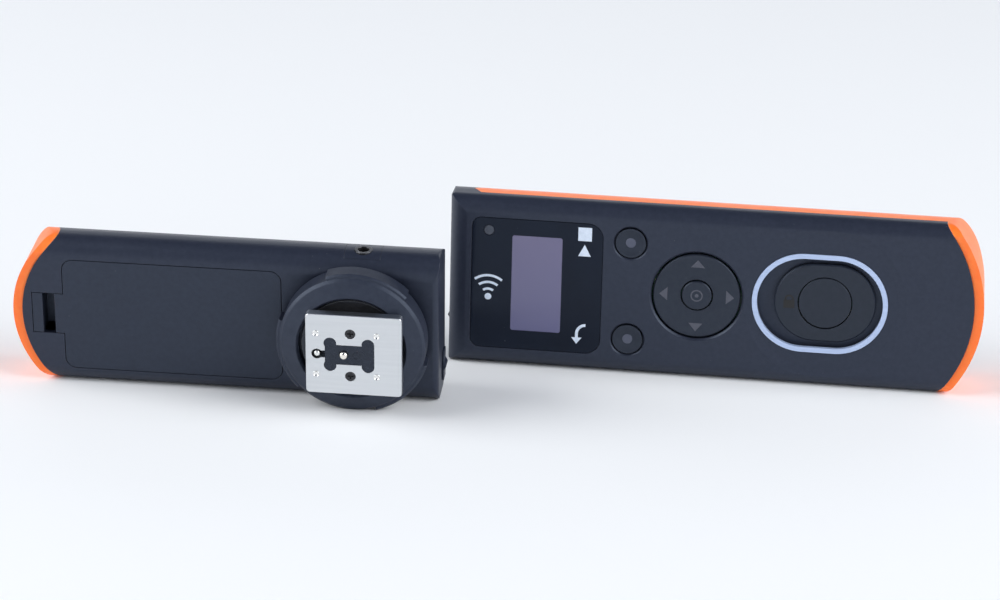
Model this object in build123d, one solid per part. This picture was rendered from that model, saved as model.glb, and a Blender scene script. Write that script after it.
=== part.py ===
from build123d import *
import math
import os
from dataclasses import dataclass

# Wireless trigger set: a hand transmitter and a shoe-mounted receiver, each in a moulded shell.
# Units are millimetres. Each unit is drawn in its own frame: X from its flat end to its curved
# end, Y from its front face (0) to its rear face, Z across its width, centred.

# ---------------------------------------------------------------- driving dimensions
WALL = 1.4                 # shell wall
FIT = 0.12                 # gap around pieces that are fixed in an opening
SLIP = 0.05                # gap on the radius of a pin in its hole
PAST = 1.0                 # how far a cutter runs past the face that it opens
ROOT = 0.1                 # how far a joined piece runs into the one that it stands on
RUN = 0.25                 # gap around pieces that move in an opening
RIM = 2.1                  # how far the coloured end band stands out past the black shells
BAND_SETBACK = 0.35        # band faces lie this far behind the shells' front and rear faces


@dataclass(frozen=True)
class Unit:
    length: float          # flat end to the tip of the curved end
    width: float
    thick: float
    front_r: float         # rounding of the long edges, front side
    rear_r: float          # rounding of the long edges, rear side
    end_front_r: float     # rounding across the flat end, front side
    end_rear_r: float      # rounding across the flat end, rear side
    seam: float            # depth of the line where the two shells meet
    knob_y: float          # depth of the power knob's centre on the flat end
    door_from_tip: float   # battery door, measured back from the tip of the curved end
    sag: float = 7.0       # rise of the curved end's arc
    corner_r: float = 0.8  # corners of the flat end, seen from the front


TX = Unit(length=117.0, width=38.5, thick=17.4, front_r=3.5, rear_r=11.5,
          end_front_r=4.0, end_rear_r=5.0, seam=6.3, knob_y=9.2, door_from_tip=11.8)
RX = Unit(length=92.1, width=34.0, thick=15.0, front_r=10.0, rear_r=4.6,
          end_front_r=4.0, end_rear_r=1.3, seam=8.5, knob_y=7.0, door_from_tip=11.0,
          sag=7.7)

# transmitter front
WINDOW_X = (5.2, 34.0)
WINDOW_W = 30.0
WINDOW_T = 0.8
WINDOW_SUNK = 0.02
WINDOW_R = (2.0, 3.4)      # corner radii at the flat-end side and the other side
WINDOW_LEDGE = (1.0, 0.6)  # thicker wall behind the window: reach around it, extra thickness
DISPLAY_X = 19.6
DISPLAY_Z = 0.3
DISPLAY_ACTIVE = (10.864, 21.744)
DISPLAY_GLASS = (19.3, 26.7, 1.45, 2.05, 1.2, -0.3)   # sides, thickness, depth, offset
DISPLAY_RISE = 0.4         # the raised area is larger than the lit one by this, each side
PANE_MARGIN = 0.1          # the pane is larger than the lit area by this, each side
PANE_HOLE = 0.7            # and the hole behind it by this
PANE_R = 0.5
FRONT_DEEP = 3.0           # depth of a cutter that opens the whole front wall
LED_AT = (8.9, 12.1)
LED_R = 1.15
LED = (1.6, 1.0, 0.5, 0.4, 0.15)     # length, width, height, lens radius, lens height
PIPE_TOP = 0.04
PIPE_END = (2.6, 2.5)      # depth where the light pipe ends, transmitter and receiver
PIPE_EDGE_R = 0.2
KEY_X = 40.0
KEY_Z = 11.1
KEY_R = 3.3
KEY_TOP = 0.1
KEY_DISH_R = 9.0
KEY_DOT_R = 1.15
KEY_DOT_T = 0.12
KEY_RIM = 0.4              # flat rim around the key's dish
KEY_FLANGE = (4.0, 1.55, 2.1)   # radius, front depth, rear depth
DPAD_X = 54.8
DPAD_R = 9.55
DPAD_GAP = 0.35
DPAD_TOP = 0.2
DPAD_T = 1.15
DPAD_DISH_R = 60.0
DPAD_CHAMFER = 0.25
DPAD_RIM = 0.8             # rim around the ring's dish
RUBBER = (4.3, 6.0, 1.75, 2.3)  # inner radius, outer radius, front depth, rear depth
SET_R = 3.3
SET_TOP = 0.3
SET_EDGE_R = 0.35
SET_GAP = 0.25
RING_X = 81.6
RING = (29.6, 22.6)
RING_BAND = 1.15
RING_TOP = 0.12
RING_DEPTH = 1.1
DISH_R = 17.6
DISH_DEPTH = 0.3
DISH_SLOPE = 1.8           # width of the dish's soft edge
HOLE_BEVEL = 0.35          # bevel around the round keys
DPAD_BEVEL = 0.45          # bevel around the direction ring
POCKET_FLOOR = 2.2
POCKET_FLOOR_T = 0.9
POCKET_HOLE_GAP = 0.6      # gap around the release button in the pocket's floor
POCKET_WALL = 1.2
SLIDER = (22.1, 17.7, 1.2)
SLIDER_X = 82.7
SLIDER_TOP = 0.9
SLIDER_CHAMFER = 0.3
SLIDER_TRAVEL = 2.5
BUTTON_R = 5.75
BUTTON_GAP = 0.2
BUTTON_STEM = (1.5, 0.5)
BUTTON_EDGE_R = 0.25
BAND_ARM = (4.5, 10.3)     # depth range of the band's arms along the long sides
BAND_ARM_X = 4.6
BAND_ARM_DEEP = 1.0
BAND_TIP = 1.8
BAND_CORNER_R = 3.0        # ends of the curved end's arc, seen from the front
PEG_R = 1.0
PEG_Z = 9.0
PEG_ROOT = 0.8
PEG_PAST = 0.8

# transmitter inside
TX_BOARD_Y = (3.7, 4.5)
TX_BOARD_X = (4.0, 110.0)
TX_BOARD_W = 30.0
BOARD_R = 2.0              # corners of a circuit board
BOARD_CLEAR = 0.2
POST_NOTCH = 0.3           # gap around a screw post in a circuit board
SWITCH = (2.79, 0.54, 0.9, 0.225)    # push switch: side, height, plunger radius, plunger height
TX_SCREWS = ((46.0, 14.3), (46.0, -14.3), (109.6, 8.0), (109.6, -8.0))
TX_SCREW_Y = (2.6, 10.4)   # depth of the screws' tips and of their heads
DPAD_SWITCH_R = 7.6        # the direction switches lie on this radius
LEAF = (12.0, 2.2, 0.15, 3.2)   # release contacts: length, width, thickness, distance off centre
LEAF_FOOT = 1.0
TX_RADIO = (8.0, 18.0, 13.0)    # start, length, width
TX_ANTENNA = (30.0, 7)     # start, turns

# battery compartment
DOOR = (47.5, 26.0, 2.5)   # length, width, corner radius
DOOR_GAP = 0.15
LATCH = (6.8, 9.6)
LATCH_SLOT = (1.8, 4.45)
LATCH_LEG = 0.8
LATCH_SIDE = 0.6           # the spring loop is narrower than the tab by this, each side
LATCH_DEEP = 5.0
TONGUE = (5.0, 1.2, 0.55, 2.0)  # width, reach past the hinge line, thickness, root
TONGUE_GAP = 0.1
CELL_R = 5.25
CELL_L = 44.5
CELL_Z = 5.45
CELL_COVER = 0.35
CELL_NUB = (1.9, 1.0)
CELL_EDGE_R = 0.5
BAY_CLEAR = 0.1
PLATE_T = 0.4
PLATE_HALF = (4.0, 4.2)    # half height and half width of a contact plate
TRAY_WALL = 0.6
TRAY_ABOVE = 1.5           # the tray's sides rise this far past the cells' axes
SPRING = (2.2, 0.45, 1.9, 3)    # coil radius, wire diameter, length in the bay, turns

# power knob on the flat end
KNOB_Z = -10.8
KNOB = (6.8, 3.0, 0.35)
KNOB_NUB = (1.8, 0.5)
KNOB_NECK = (2.2, 2.0)
KNOB_TRAVEL = 2.0
KNOB_LIFT = 0.05
SWITCH_BODY = (3.2, 3.4, 7.2)   # power switch: reach into the unit, depth, width
SWITCH_PIN = (0.5, 2.2, 0.9)     # its pins: width, spacing, length
SWITCH_BACK = 0.5          # gap between the wall and the switch

# radio module and antenna
MODULE_BOARD_T = 0.6
CAN_T = 1.6
CAN_IN = 0.6               # the can lies this far inside its board
CAN_START = 3.5            # bare strip of the module's board before the can
CAN_CORNER_R = 0.5
WIRE = (0.5, 0.35, 1.6, 9.0)    # antenna: track width, thickness, pitch, span

# screws that hold the shells
SCREW_R = 1.0
SCREW_BITE = 0.05          # gap around the thread in the front shell
SCREW_CLEAR = 0.15         # gap around the shank in the rear shell
SCREW_HEAD = (1.8, 1.2)
BOSS_R = 2.8
SCREW_CROSS = (0.35, 2.2, 0.7)

# receiver
FOOT_X = 16.6
PLATE = (20.4, 18.6, 1.9)
PLATE_BACK = 9.4           # from the rear face to the back of the foot plate
PLATE_R = 0.8
PLATE_EDGE_R = 0.2
WHEEL_X = 17.6
WHEEL_R = 15.6             # rim between the grip lobes
LOBE_R = 16.4
LOBES = ((45.0, 110.0), (-72.0, -15.0), (163.0, 223.0))
LOBE_Y = (2.0, 6.3)
WHEEL_Y = (1.2, 8.2)
WHEEL_CONE = 1.9           # rise of the coned front
WHEEL_EDGES = (0.6, 0.6, 0.5)   # bevels: back rim, front rim, mouth of the recess
LOBE_ROOT = 1.5            # the lobes start this far inside the rim
LOBE_CHAMFER = 0.4
WHEEL_RECESS_R = 11.3
WHEEL_FLOOR_Y = 6.05
WHEEL_PITCH = 1.0
NECK_R = 6.0
NECK_RUN = 0.08            # gap between the neck and the pieces that move along it
NECK_FLANGE = (7.4, 1.3)
THREAD_DEEP = 0.3
WASHER = (10.9, 6.1, 1.0)  # radius, depth of its back face, thickness
WASHER_CHAMFER = 0.2
CONTACT_X = 18.7
CONTACT_R = 0.9
CONTACT_PROUD = 0.9
CONTACT_GAP = 0.1
CONTACT_ROOT = 0.5         # it starts this far inside the rear face
DOME_FLAT = 0.1            # flat left in the middle of a domed end
INSERT_SUNK = 0.15         # the insert's face lies this far behind the plate's
GATE_MARK = (-0.6, 0.9, 0.3, 0.1)    # round mould mark: place, radius, line width, depth
PIN_X = 24.4
PIN_R = 0.7
PIN_PROUD = 0.2
PIN_NOTCH_R = 1.15
FOOT_SCREWS = ((17.3, 5.0), (17.3, -5.0))
FOOT_SCREW = (1.08, 0.6, 5.0)   # head radius, shank radius, length
FOOT_HEAD = (0.15, 1.0)    # depth of the head's top and underside below the plate's face
FOOT_CROSS = (0.3, 1.3, 0.6)    # cross recess: slot width, span, depth below the plate's face
RIVETS = ((24.6, 4.8), (24.6, -4.8), (11.7, 4.85), (11.7, -4.85))
RIVET_R = 0.68
RIVET_PROUD = 0.06
RIVET_DIMPLE = (0.75, 0.5) # ball radius, ball centre above the plate
BONE_LOBE = (1.35, 2.6)    # corner lobes of the plate's window: radius, distance off centre
BONE_X = (-4.4, 6.1)       # ends of the window's waist, from the plate's middle
BONE_LOBE_X = (-3.05, 5.0)
BONE_WAIST = 2.3           # half width of the waist
NOTCH_W = 1.6              # width of the slot between the window and the pin's notch
NOTCH_X = 6.0              # where the slot starts, from the plate's middle
RX_SCREWS = ((25.6, 9.6), (25.6, -9.6), (9.6, 9.6), (9.6, -9.6))
RX_SCREW_Y = (4.6, 11.6)   # depth of the screws' tips and of their heads
RX_TRAY_Y = 2.2            # depth of the cell tray's underside
RX_RADIO = (8.0, 14.0, 12.0)    # start, length, width
RX_ANTENNA = (23.5, 4)     # start, turns
RX_BOARD_Y = (3.4, 4.2)
RX_BOARD = (6.2, 32.0, 22.0)
JACK_Y = 10.2
JACK_BORE_R = 1.28
JACK_RING_R = 1.9
JACK_PROUD = 0.05
JACK_SUNK = 0.7            # gap between the wall and the jack's body
JACK_BODY = (5.0, 3.8, 11.0)
JACK_BORE_L = 11.5
JACK_PANEL = (7.8, 7.3, 13.1)
PAIR_KEY = (13.0, 2.4, 0.1, 1.5, 2.0, 0.7)  # place, radius, depths of top, flange, end; flange width
PAIR_SWITCH = (2.8, 0.6)   # side and height of the push switch under the pairing key
RX_LED_X = 24.0

# how the two units stand: both on a long side, the receiver in front and to the left
RX_END_X = 2.2
RX_FACE_Y = -27.8
RX_TURN = 1.6              # degrees that the receiver is turned, far end to the front


# ---------------------------------------------------------------- small helpers
def slab_y(face, y0, y1):
    """Extrude an outline drawn in X and Z from one depth to another."""
    plane = Plane(origin=(0, y0, 0), x_dir=(1, 0, 0), z_dir=(0, -1, 0))
    return extrude(plane * face, amount=y1 - y0, dir=(0, 1, 0))


def disc_y(x, z, r, y0, y1):
    """A round pin or hole along the depth."""
    return slab_y(Pos(x, z) * Circle(r), y0, y1)


def block(x0, x1, y0, y1, z0, z1):
    """A plain block between two corners."""
    return Pos((x0 + x1) / 2, (y0 + y1) / 2, (z0 + z1) / 2) * Box(x1 - x0, y1 - y0, z1 - z0)


def post(r, length):
    """A cylinder that stands on the XY plane."""
    return Cylinder(r, length, align=(Align.CENTER, Align.CENTER, Align.MIN))


def stadium(length, width):
    """A slot outline: two half circles joined by straight sides."""
    return SlotOverall(length, width)


def group(pieces):
    """Several separate solids in one node."""
    return Compound([solid for piece in pieces for solid in piece.solids()])


def turned(points, x):
    """Turn a profile of (radius, depth) points about the depth axis through X = x."""
    face = make_face(Plane.XY * Polyline(*points, close=True))
    return Pos(x, 0, 0) * revolve(face, axis=Axis.Y)


# ---------------------------------------------------------------- shells
def section_face(u, inset):
    """Cross-section of a unit, in depth and width, smaller all round by the inset."""
    face = Pos(u.thick / 2, 0) * Rectangle(u.thick - 2 * inset, u.width - 2 * inset)
    face = fillet(face.vertices().group_by(Axis.X)[0], u.front_r - inset)
    return fillet(face.vertices().group_by(Axis.X)[-1], u.rear_r - inset)


def end_face(u, inset):
    """Side profile of a unit, in length and depth, rounded across the flat end."""
    face = Pos((u.length + inset) / 2, u.thick / 2) * Rectangle(u.length - inset, u.thick - 2 * inset)
    flat_end = face.vertices().group_by(Axis.X)[0].sort_by(Axis.Y)
    face = fillet(flat_end[0], max(u.end_front_r - inset, 0.3))
    flat_end = face.vertices().group_by(Axis.X)[0].sort_by(Axis.Y)
    return fillet(flat_end[-1], max(u.end_rear_r - inset, 0.3))


def plan_face(u, inset, rim, tip_r=0.0):
    """Front outline of a unit: square at the flat end, a shallow arc at the other."""
    half = u.width / 2 - inset
    tip = u.length - rim - inset
    shoulder = tip - u.sag
    sides = Polyline((shoulder, -half), (inset, -half), (inset, half), (shoulder, half))
    face = make_face(sides + ThreePointArc((shoulder, half), (tip, 0), (shoulder, -half)))
    face = fillet(face.vertices().group_by(Axis.X)[0], max(u.corner_r - inset, 0.3))
    if tip_r:
        face = fillet(face.vertices().group_by(Axis.X)[-1], tip_r)
    return face


def unit_body(u, inset=0.0, rim=0.0, tip_r=0.0):
    """Solid shape of a unit; the rounded long sides and flat end meet in mitred corners."""
    along = extrude(Plane.YZ.offset(inset) * section_face(u, inset), amount=u.length - inset)
    across = extrude(Plane.XY.offset(-u.width / 2) * end_face(u, inset), amount=u.width)
    return along & across & slab_y(plan_face(u, inset, rim, tip_r), 0, u.thick)


def band_arms(u):
    """The two arms of the coloured band, which run in a groove along the long sides."""
    y0, y1 = BAND_ARM
    mid = (y0 + y1) / 2
    outline = Polyline((BAND_ARM_X, mid), (BAND_ARM_X + BAND_TIP, y0), (u.length, y0),
                       (u.length, y1), (BAND_ARM_X + BAND_TIP, y1), close=True)
    strip = extrude(Plane.XY.offset(-u.width / 2) * make_face(outline), amount=u.width)
    skin = unit_body(u, rim=RIM) - unit_body(u, inset=BAND_ARM_DEEP, rim=-2 * BAND_ARM_DEEP)
    return strip & skin & block(0, u.length - RIM - u.sag / 2, 0, u.thick, -u.width, u.width)


def band_pegs(u):
    """Pegs on the band that plug into the shells' end wall."""
    half = u.width / 2
    arc_r = (half ** 2 + u.sag ** 2) / (2 * u.sag)
    start = u.length - RIM - (arc_r - math.sqrt(arc_r ** 2 - PEG_Z ** 2)) + PEG_ROOT
    peg = Rot(0, -90, 0) * post(PEG_R, PEG_ROOT + WALL + PEG_PAST)
    return Pos(start, u.seam, -PEG_Z) * peg + Pos(start, u.seam, PEG_Z) * peg


def end_band(u, arms):
    """The coloured band around the curved end, with arms along the sides if it has them."""
    all_round = Pos(u.length / 2, 0) * Rectangle(2 * u.length, 2 * u.width)
    cap = unit_body(u, tip_r=BAND_CORNER_R) & slab_y(all_round, BAND_SETBACK, u.thick - BAND_SETBACK)
    cap -= slab_y(plan_face(u, 0, RIM), -PAST, u.thick + PAST)
    cap &= block(u.length - RIM - u.sag - PAST, u.length, 0, u.thick, -u.width, u.width)
    band = cap + band_pegs(u)
    if arms:
        band = band + band_arms(u)
    return band


def door_outline(u, gap):
    """Outline of the battery door with its latch tab, smaller all round by the gap."""
    x1 = u.length - u.door_from_tip
    x0 = x1 - DOOR[0]
    panel = Pos((x0 + x1) / 2, 0) * RectangleRounded(DOOR[0] - 2 * gap, DOOR[1] - 2 * gap, DOOR[2] - gap)
    tab_l = LATCH[0] + PAST
    tab = Pos(x1 - PAST + tab_l / 2, 0) * Rectangle(tab_l - 2 * gap, LATCH[1] - 2 * gap)
    return panel + tab


def hollow_body(u):
    """The moulded wall of a unit all round."""
    return unit_body(u, rim=RIM) - unit_body(u, inset=WALL, rim=RIM)


def front_shell(u):
    """Front half of the hollow shell, with no openings yet."""
    return hollow_body(u) & block(-PAST, u.length, -PAST, u.seam, -u.width, u.width)


def rear_shell(u):
    """Rear half of the hollow shell, with the door and power knob openings."""
    shell = hollow_body(u) & block(-PAST, u.length, u.seam, u.thick + PAST, -u.width, u.width)
    shell -= slab_y(door_outline(u, 0), u.thick - LATCH_DEEP, u.thick + PAST)
    return shell - knob_slot(u)


def knob_slot(u):
    """Slot in the flat end that the power knob's neck slides in."""
    span = KNOB_NECK[0] / 2 + KNOB_TRAVEL / 2 + RUN
    mid = KNOB_Z + KNOB_TRAVEL / 2
    half = KNOB_NECK[1] / 2 + RUN
    return block(-PAST, WALL + PAST, u.knob_y - half, u.knob_y + half, mid - span, mid + span)


def screw_post(x, z, y0, y1, hole_r):
    """A hollow post that a shell screw runs in."""
    return disc_y(x, z, BOSS_R, y0, y1) - disc_y(x, z, hole_r, y0 - PAST, y1 + PAST)


def with_screw_posts(u, front, rear, places, head_y):
    """Add the screw posts to both shells and sink the screw heads into the rear one."""
    inside = unit_body(u, inset=WALL / 2, rim=RIM)
    for x, z in places:
        front += screw_post(x, z, WALL / 2, u.seam, SCREW_R + SCREW_BITE) & inside
        rear += screw_post(x, z, u.seam, u.thick, SCREW_R + SCREW_CLEAR) & inside
        rear -= disc_y(x, z, SCREW_HEAD[0] + 0.2, head_y, u.thick + PAST)
        rear -= disc_y(x, z, SCREW_R + SCREW_CLEAR, u.seam - PAST, u.thick + PAST)
    return front, rear


def cross_recess(x, z, y0, y1, width, span):
    """Cutter for the cross in a screw's head."""
    a, b = width / 2, span / 2
    return block(x - a, x + a, y0, y1, z - b, z + b) + block(x - b, x + b, y0, y1, z - a, z + a)


def shell_screws(places, tip_y, head_y):
    """Cross-head screws, one solid each, in one node."""
    head_r, head_t = SCREW_HEAD
    width, span, deep = SCREW_CROSS
    top = head_y + head_t
    screws = []
    for x, z in places:
        screw = disc_y(x, z, SCREW_R, tip_y, head_y) + disc_y(x, z, head_r, head_y, top)
        screws.append(screw - cross_recess(x, z, top - deep, top + PAST, width, span))
    return group(screws)


# ---------------------------------------------------------------- battery compartment
def bay_x(u):
    """Start and end of the battery bay along the unit."""
    x1 = u.length - u.door_from_tip
    return x1 - CELL_L - SPRING[2] - 2 * PLATE_T, x1


def cell_y(u):
    """Depth of the cells' axes."""
    return u.thick - WALL - CELL_COVER - CELL_R


def battery_door(u):
    """Battery door: a piece of the rear wall with hinge tongues and a sprung snap latch."""
    x1 = u.length - u.door_from_tip
    x0 = x1 - DOOR[0]
    door = hollow_body(u) & slab_y(door_outline(u, DOOR_GAP), u.thick - LATCH_DEEP, u.thick + PAST)
    s0, s1 = x1 + LATCH_SLOT[0], x1 + LATCH_SLOT[1]
    half = LATCH[1] / 2
    door -= block(s0, s1, 0, u.thick + PAST, -half, half)
    y_low = u.thick - LATCH_DEEP
    inner = half - LATCH_SIDE
    door += block(s0 - LATCH_LEG, s0, y_low, u.thick - WALL / 2, -inner, inner)
    door += block(s1, s1 + LATCH_LEG, y_low, u.thick - WALL / 2, -inner, inner)
    door += block(s0 - LATCH_LEG, s1 + LATCH_LEG, y_low, y_low + LATCH_LEG, -inner, inner)
    w, reach, t, root = TONGUE
    y1 = u.thick - WALL - TONGUE_GAP
    door += block(x0 - reach, x0 + root, y1 - t, y1, -w / 2, w / 2)
    return door + block(x0 + DOOR_GAP, x0 + root, y1 - t, y1 + WALL / 2, -w / 2, w / 2)


def hinge_y(u):
    """Depth of the battery door's hinge line, at the outer skin."""
    return u.thick


def cell(u, side):
    """A size AAA cell; the two lie in opposite directions."""
    x0, x1 = bay_x(u)
    nub_r, nub_l = CELL_NUB
    body_l = CELL_L - nub_l
    can = post(CELL_R, body_l)
    can = fillet(can.edges().filter_by(GeomType.CIRCLE), CELL_EDGE_R)
    shape = can + Pos(0, 0, body_l) * post(nub_r, nub_l)
    if side > 0:
        return Pos(x0 + PLATE_T + SPRING[2], cell_y(u), CELL_Z) * Rot(0, 90, 0) * shape
    return Pos(x1 - PLATE_T - SPRING[2], cell_y(u), -CELL_Z) * Rot(0, -90, 0) * shape


def coil(radius, wire, length, turns):
    """A battery spring standing on the XY plane."""
    path = Helix(pitch=(length - wire) / turns, height=length - wire, radius=radius)
    start = Plane(origin=path @ 0, z_dir=path % 0)
    return Pos(0, 0, wire / 2) * sweep(start * Circle(wire / 2), path, is_frenet=True)


def contact_springs(u):
    """The coil springs that press on the cells' flat ends."""
    x0, x1 = bay_x(u)
    r, wire, length, turns = SPRING
    left = Pos(x0 + PLATE_T, cell_y(u), CELL_Z) * Rot(0, 90, 0) * coil(r, wire, length, turns)
    right = Pos(x1 - PLATE_T, cell_y(u), -CELL_Z) * Rot(0, -90, 0) * coil(r, wire, length, turns)
    return group([left, right])


def contact_plates(u):
    """Sprung metal plates at both ends of the bay; one joins the cells."""
    x0, x1 = bay_x(u)
    y = cell_y(u)
    high, wide = PLATE_HALF
    y0, y1 = y - high, y + high
    near = [block(x0, x0 + PLATE_T, y0, y1, z - wide, z + wide) for z in (-CELL_Z, CELL_Z)]
    return group(near + [block(x1 - PLATE_T, x1, y0, y1, -CELL_Z - wide, CELL_Z + wide)])


def cell_tray(u, y_back):
    """Open cradle that the cells lie in, with end walls for the contact plates."""
    x0, x1 = bay_x(u)
    y = cell_y(u)
    half = CELL_Z + CELL_R + BAY_CLEAR + TRAY_WALL
    low, wide = PLATE_HALF[0] + BAY_CLEAR, PLATE_HALF[1] + BAY_CLEAR
    over = y + 2 * CELL_R
    tray = block(x0 - TRAY_WALL, x1 + TRAY_WALL, y_back, y + TRAY_ABOVE, -half, half)
    tray &= unit_body(u, inset=WALL + SLIP, rim=RIM)
    for s in (-1, 1):
        tray -= Pos(x0, y, s * CELL_Z) * Rot(0, 90, 0) * post(CELL_R + BAY_CLEAR, x1 - x0)
        for xa in (x0, x1 - PLATE_T):
            tray -= block(xa, xa + PLATE_T, y - low, over, s * CELL_Z - wide, s * CELL_Z + wide)
    tray -= block(x1 - PLATE_T, x1, y - low, over, -CELL_Z, CELL_Z)
    return tray - block(x0, x1, y, over, -CELL_Z, CELL_Z)


# ---------------------------------------------------------------- parts both units have
def power_knob(u):
    """Power slide: a flat pad with a ridge outside the flat end and a neck through the slot."""
    length, w, t = KNOB
    x_out = -KNOB_LIFT
    x_pad = x_out - t
    pad = block(x_pad, x_out, u.knob_y - w / 2, u.knob_y + w / 2, KNOB_Z - length / 2, KNOB_Z + length / 2)
    nub_w, nub_t = KNOB_NUB
    ridge = make_face(Polyline((x_pad, -nub_w / 2), (x_pad - nub_t, 0), (x_pad, nub_w / 2), close=True))
    pad += extrude(Plane(origin=(0, u.knob_y - w / 2, KNOB_Z), x_dir=(1, 0, 0), z_dir=(0, -1, 0)) * ridge,
                   amount=w, dir=(0, 1, 0))
    nz, ny = KNOB_NECK
    neck = block(x_out, WALL + 0.3, u.knob_y - ny / 2, u.knob_y + ny / 2, KNOB_Z - nz / 2, KNOB_Z + nz / 2)
    return pad + neck


def power_switch_body(u):
    """The slide switch behind the knob's slot."""
    mid = KNOB_Z + KNOB_TRAVEL / 2
    reach, deep, wide = SWITCH_BODY
    pin, spacing, length = SWITCH_PIN
    x0, y0 = WALL + SWITCH_BACK, u.knob_y - deep / 2
    body = block(x0, x0 + reach, y0, y0 + deep, mid - wide / 2, mid + wide / 2)
    for z in (mid - spacing, mid, mid + spacing):
        body += block(x0 + PAST, x0 + PAST + pin, y0 - length, y0 + ROOT, z - pin / 2, z + pin / 2)
    return body


def with_post_notches(board, places):
    """A circuit board, cut away around the screw posts."""
    for x, z in places:
        board -= disc_y(x, z, BOSS_R + POST_NOTCH, 0, TX.thick)
    return board


def radio_module(x0, y0, w, h):
    """Radio module: a small carrier board under a shield can."""
    y1 = y0 + MODULE_BOARD_T
    side = h / 2 - CAN_IN
    board = block(x0, x0 + w, y0, y1, -h / 2, h / 2)
    can = block(x0 + CAN_START, x0 + w - CAN_IN, y1, y1 + CAN_T, -side, side)
    return board + fillet(can.edges().filter_by(Axis.Y), CAN_CORNER_R)


def antenna(x0, y0, turns):
    """Stamped zig-zag antenna standing just off the board."""
    wire, t, pitch, span = WIRE
    strip = block(x0, x0 + wire, y0, y0 + t, -span / 2, span / 2)
    for k in range(turns):
        x = x0 + k * pitch
        side = span / 2 if k % 2 == 0 else -span / 2
        strip += block(x, x + pitch + wire, y0, y0 + t, side - wire / 2, side + wire / 2)
        strip += block(x + pitch, x + pitch + wire, y0, y0 + t, -span / 2, span / 2)
    return strip


# ---------------------------------------------------------------- transmitter
def window_outline(gap):
    """Outline of the clear front window, smaller all round by the gap."""
    x0, x1 = WINDOW_X
    face = Pos((x0 + x1) / 2, 0) * Rectangle(x1 - x0 - 2 * gap, WINDOW_W - 2 * gap)
    face = fillet(face.vertices().group_by(Axis.X)[0], WINDOW_R[0] - gap)
    return fillet(face.vertices().group_by(Axis.X)[-1], WINDOW_R[1] - gap)


def pane_outline(margin):
    """Outline of the display's clear area."""
    return Pos(DISPLAY_X, DISPLAY_Z) * RectangleRounded(
        DISPLAY_ACTIVE[0] + 2 * margin, DISPLAY_ACTIVE[1] + 2 * margin, PANE_R)


def release_pocket():
    """Stadium pocket for the hold slider, its floor opening and the ring's groove."""
    length, width = RING
    groove = slab_y(Pos(RING_X, 0) * stadium(length, width), -PAST, RING_DEPTH + FIT)
    pocket = slab_y(Pos(RING_X, 0) * stadium(length - 2 * RING_BAND, width - 2 * RING_BAND), -PAST, POCKET_FLOOR)
    hole = 2 * (BUTTON_R + POCKET_HOLE_GAP)
    opening = slab_y(Pos(SLIDER_X - SLIDER_TRAVEL / 2, 0) * stadium(hole + SLIDER_TRAVEL, hole), 0, TX.thick / 2)
    return groove + pocket + opening


def countersink(x, z, r, wide, deep):
    """Cutter for a sloping edge around a round hole or dish in the front face."""
    points = [(0, -PAST), (r + wide * (1 + PAST / deep), -PAST), (r, deep), (0, deep)]
    return Pos(0, 0, z) * turned(points, x)


def tx_front_shell_with_openings(front):
    """Cut the window recess, key holes, direction pad hole and release pocket."""
    cup = Pos(RING_X, 0) * stadium(RING[0] + 2 * POCKET_WALL, RING[1] + 2 * POCKET_WALL)
    front += slab_y(cup, WALL / 2, POCKET_FLOOR + POCKET_FLOOR_T)
    ledge = slab_y(window_outline(-WINDOW_LEDGE[0]), WALL / 2, WALL + WINDOW_LEDGE[1])
    front += ledge & unit_body(TX, inset=WALL / 2, rim=RIM)
    front -= countersink(SLIDER_X, 0, DISH_R - DISH_SLOPE, DISH_SLOPE, DISH_DEPTH)
    front -= slab_y(window_outline(-FIT / 2), -PAST, WINDOW_T)
    front -= slab_y(pane_outline(PANE_HOLE), 0, FRONT_DEEP)
    front -= disc_y(*LED_AT, LED_R + SLIP, 0, FRONT_DEEP)
    for side in (-1, 1):
        front -= disc_y(KEY_X, side * KEY_Z, KEY_R + RUN, -PAST, FRONT_DEEP)
        front -= countersink(KEY_X, side * KEY_Z, KEY_R + RUN, HOLE_BEVEL, HOLE_BEVEL)
    front -= disc_y(DPAD_X, 0, DPAD_R + DPAD_GAP, -PAST, FRONT_DEEP)
    front -= countersink(DPAD_X, 0, DPAD_R + DPAD_GAP, DPAD_BEVEL, DPAD_BEVEL)
    return front - release_pocket()


def tx_window():
    """Glossy window panel with clear openings for the display pane and the status light."""
    panel = slab_y(window_outline(FIT / 2), WINDOW_SUNK, WINDOW_T)
    panel -= slab_y(pane_outline(PANE_MARGIN), -PAST, FRONT_DEEP)
    return panel - disc_y(*LED_AT, LED_R + SLIP, -PAST, FRONT_DEEP)


def tx_display():
    """Display glass with its active area raised into the window opening."""
    w, h, t, y0, dx, dz = DISPLAY_GLASS
    glass = slab_y(Pos(DISPLAY_X + dx, DISPLAY_Z + dz) * Rectangle(w, h), y0, y0 + t)
    return glass + slab_y(pane_outline(DISPLAY_RISE), WINDOW_T + SLIP, y0)


def tx_key(side):
    """Round key with a dished top, a central dot and a flange behind the wall."""
    z = side * KEY_Z
    r, y0, y1 = KEY_FLANGE
    cap = disc_y(KEY_X, z, KEY_R, KEY_TOP, y0)
    ball_y = KEY_TOP - math.sqrt(KEY_DISH_R ** 2 - (KEY_R - KEY_RIM) ** 2)
    cap -= Pos(KEY_X, ball_y, z) * Sphere(KEY_DISH_R)
    dish = KEY_DISH_R + ball_y
    cap += disc_y(KEY_X, z, KEY_DOT_R, dish - KEY_DOT_T, y0)
    return cap + disc_y(KEY_X, z, r, y0, y1)


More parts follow.
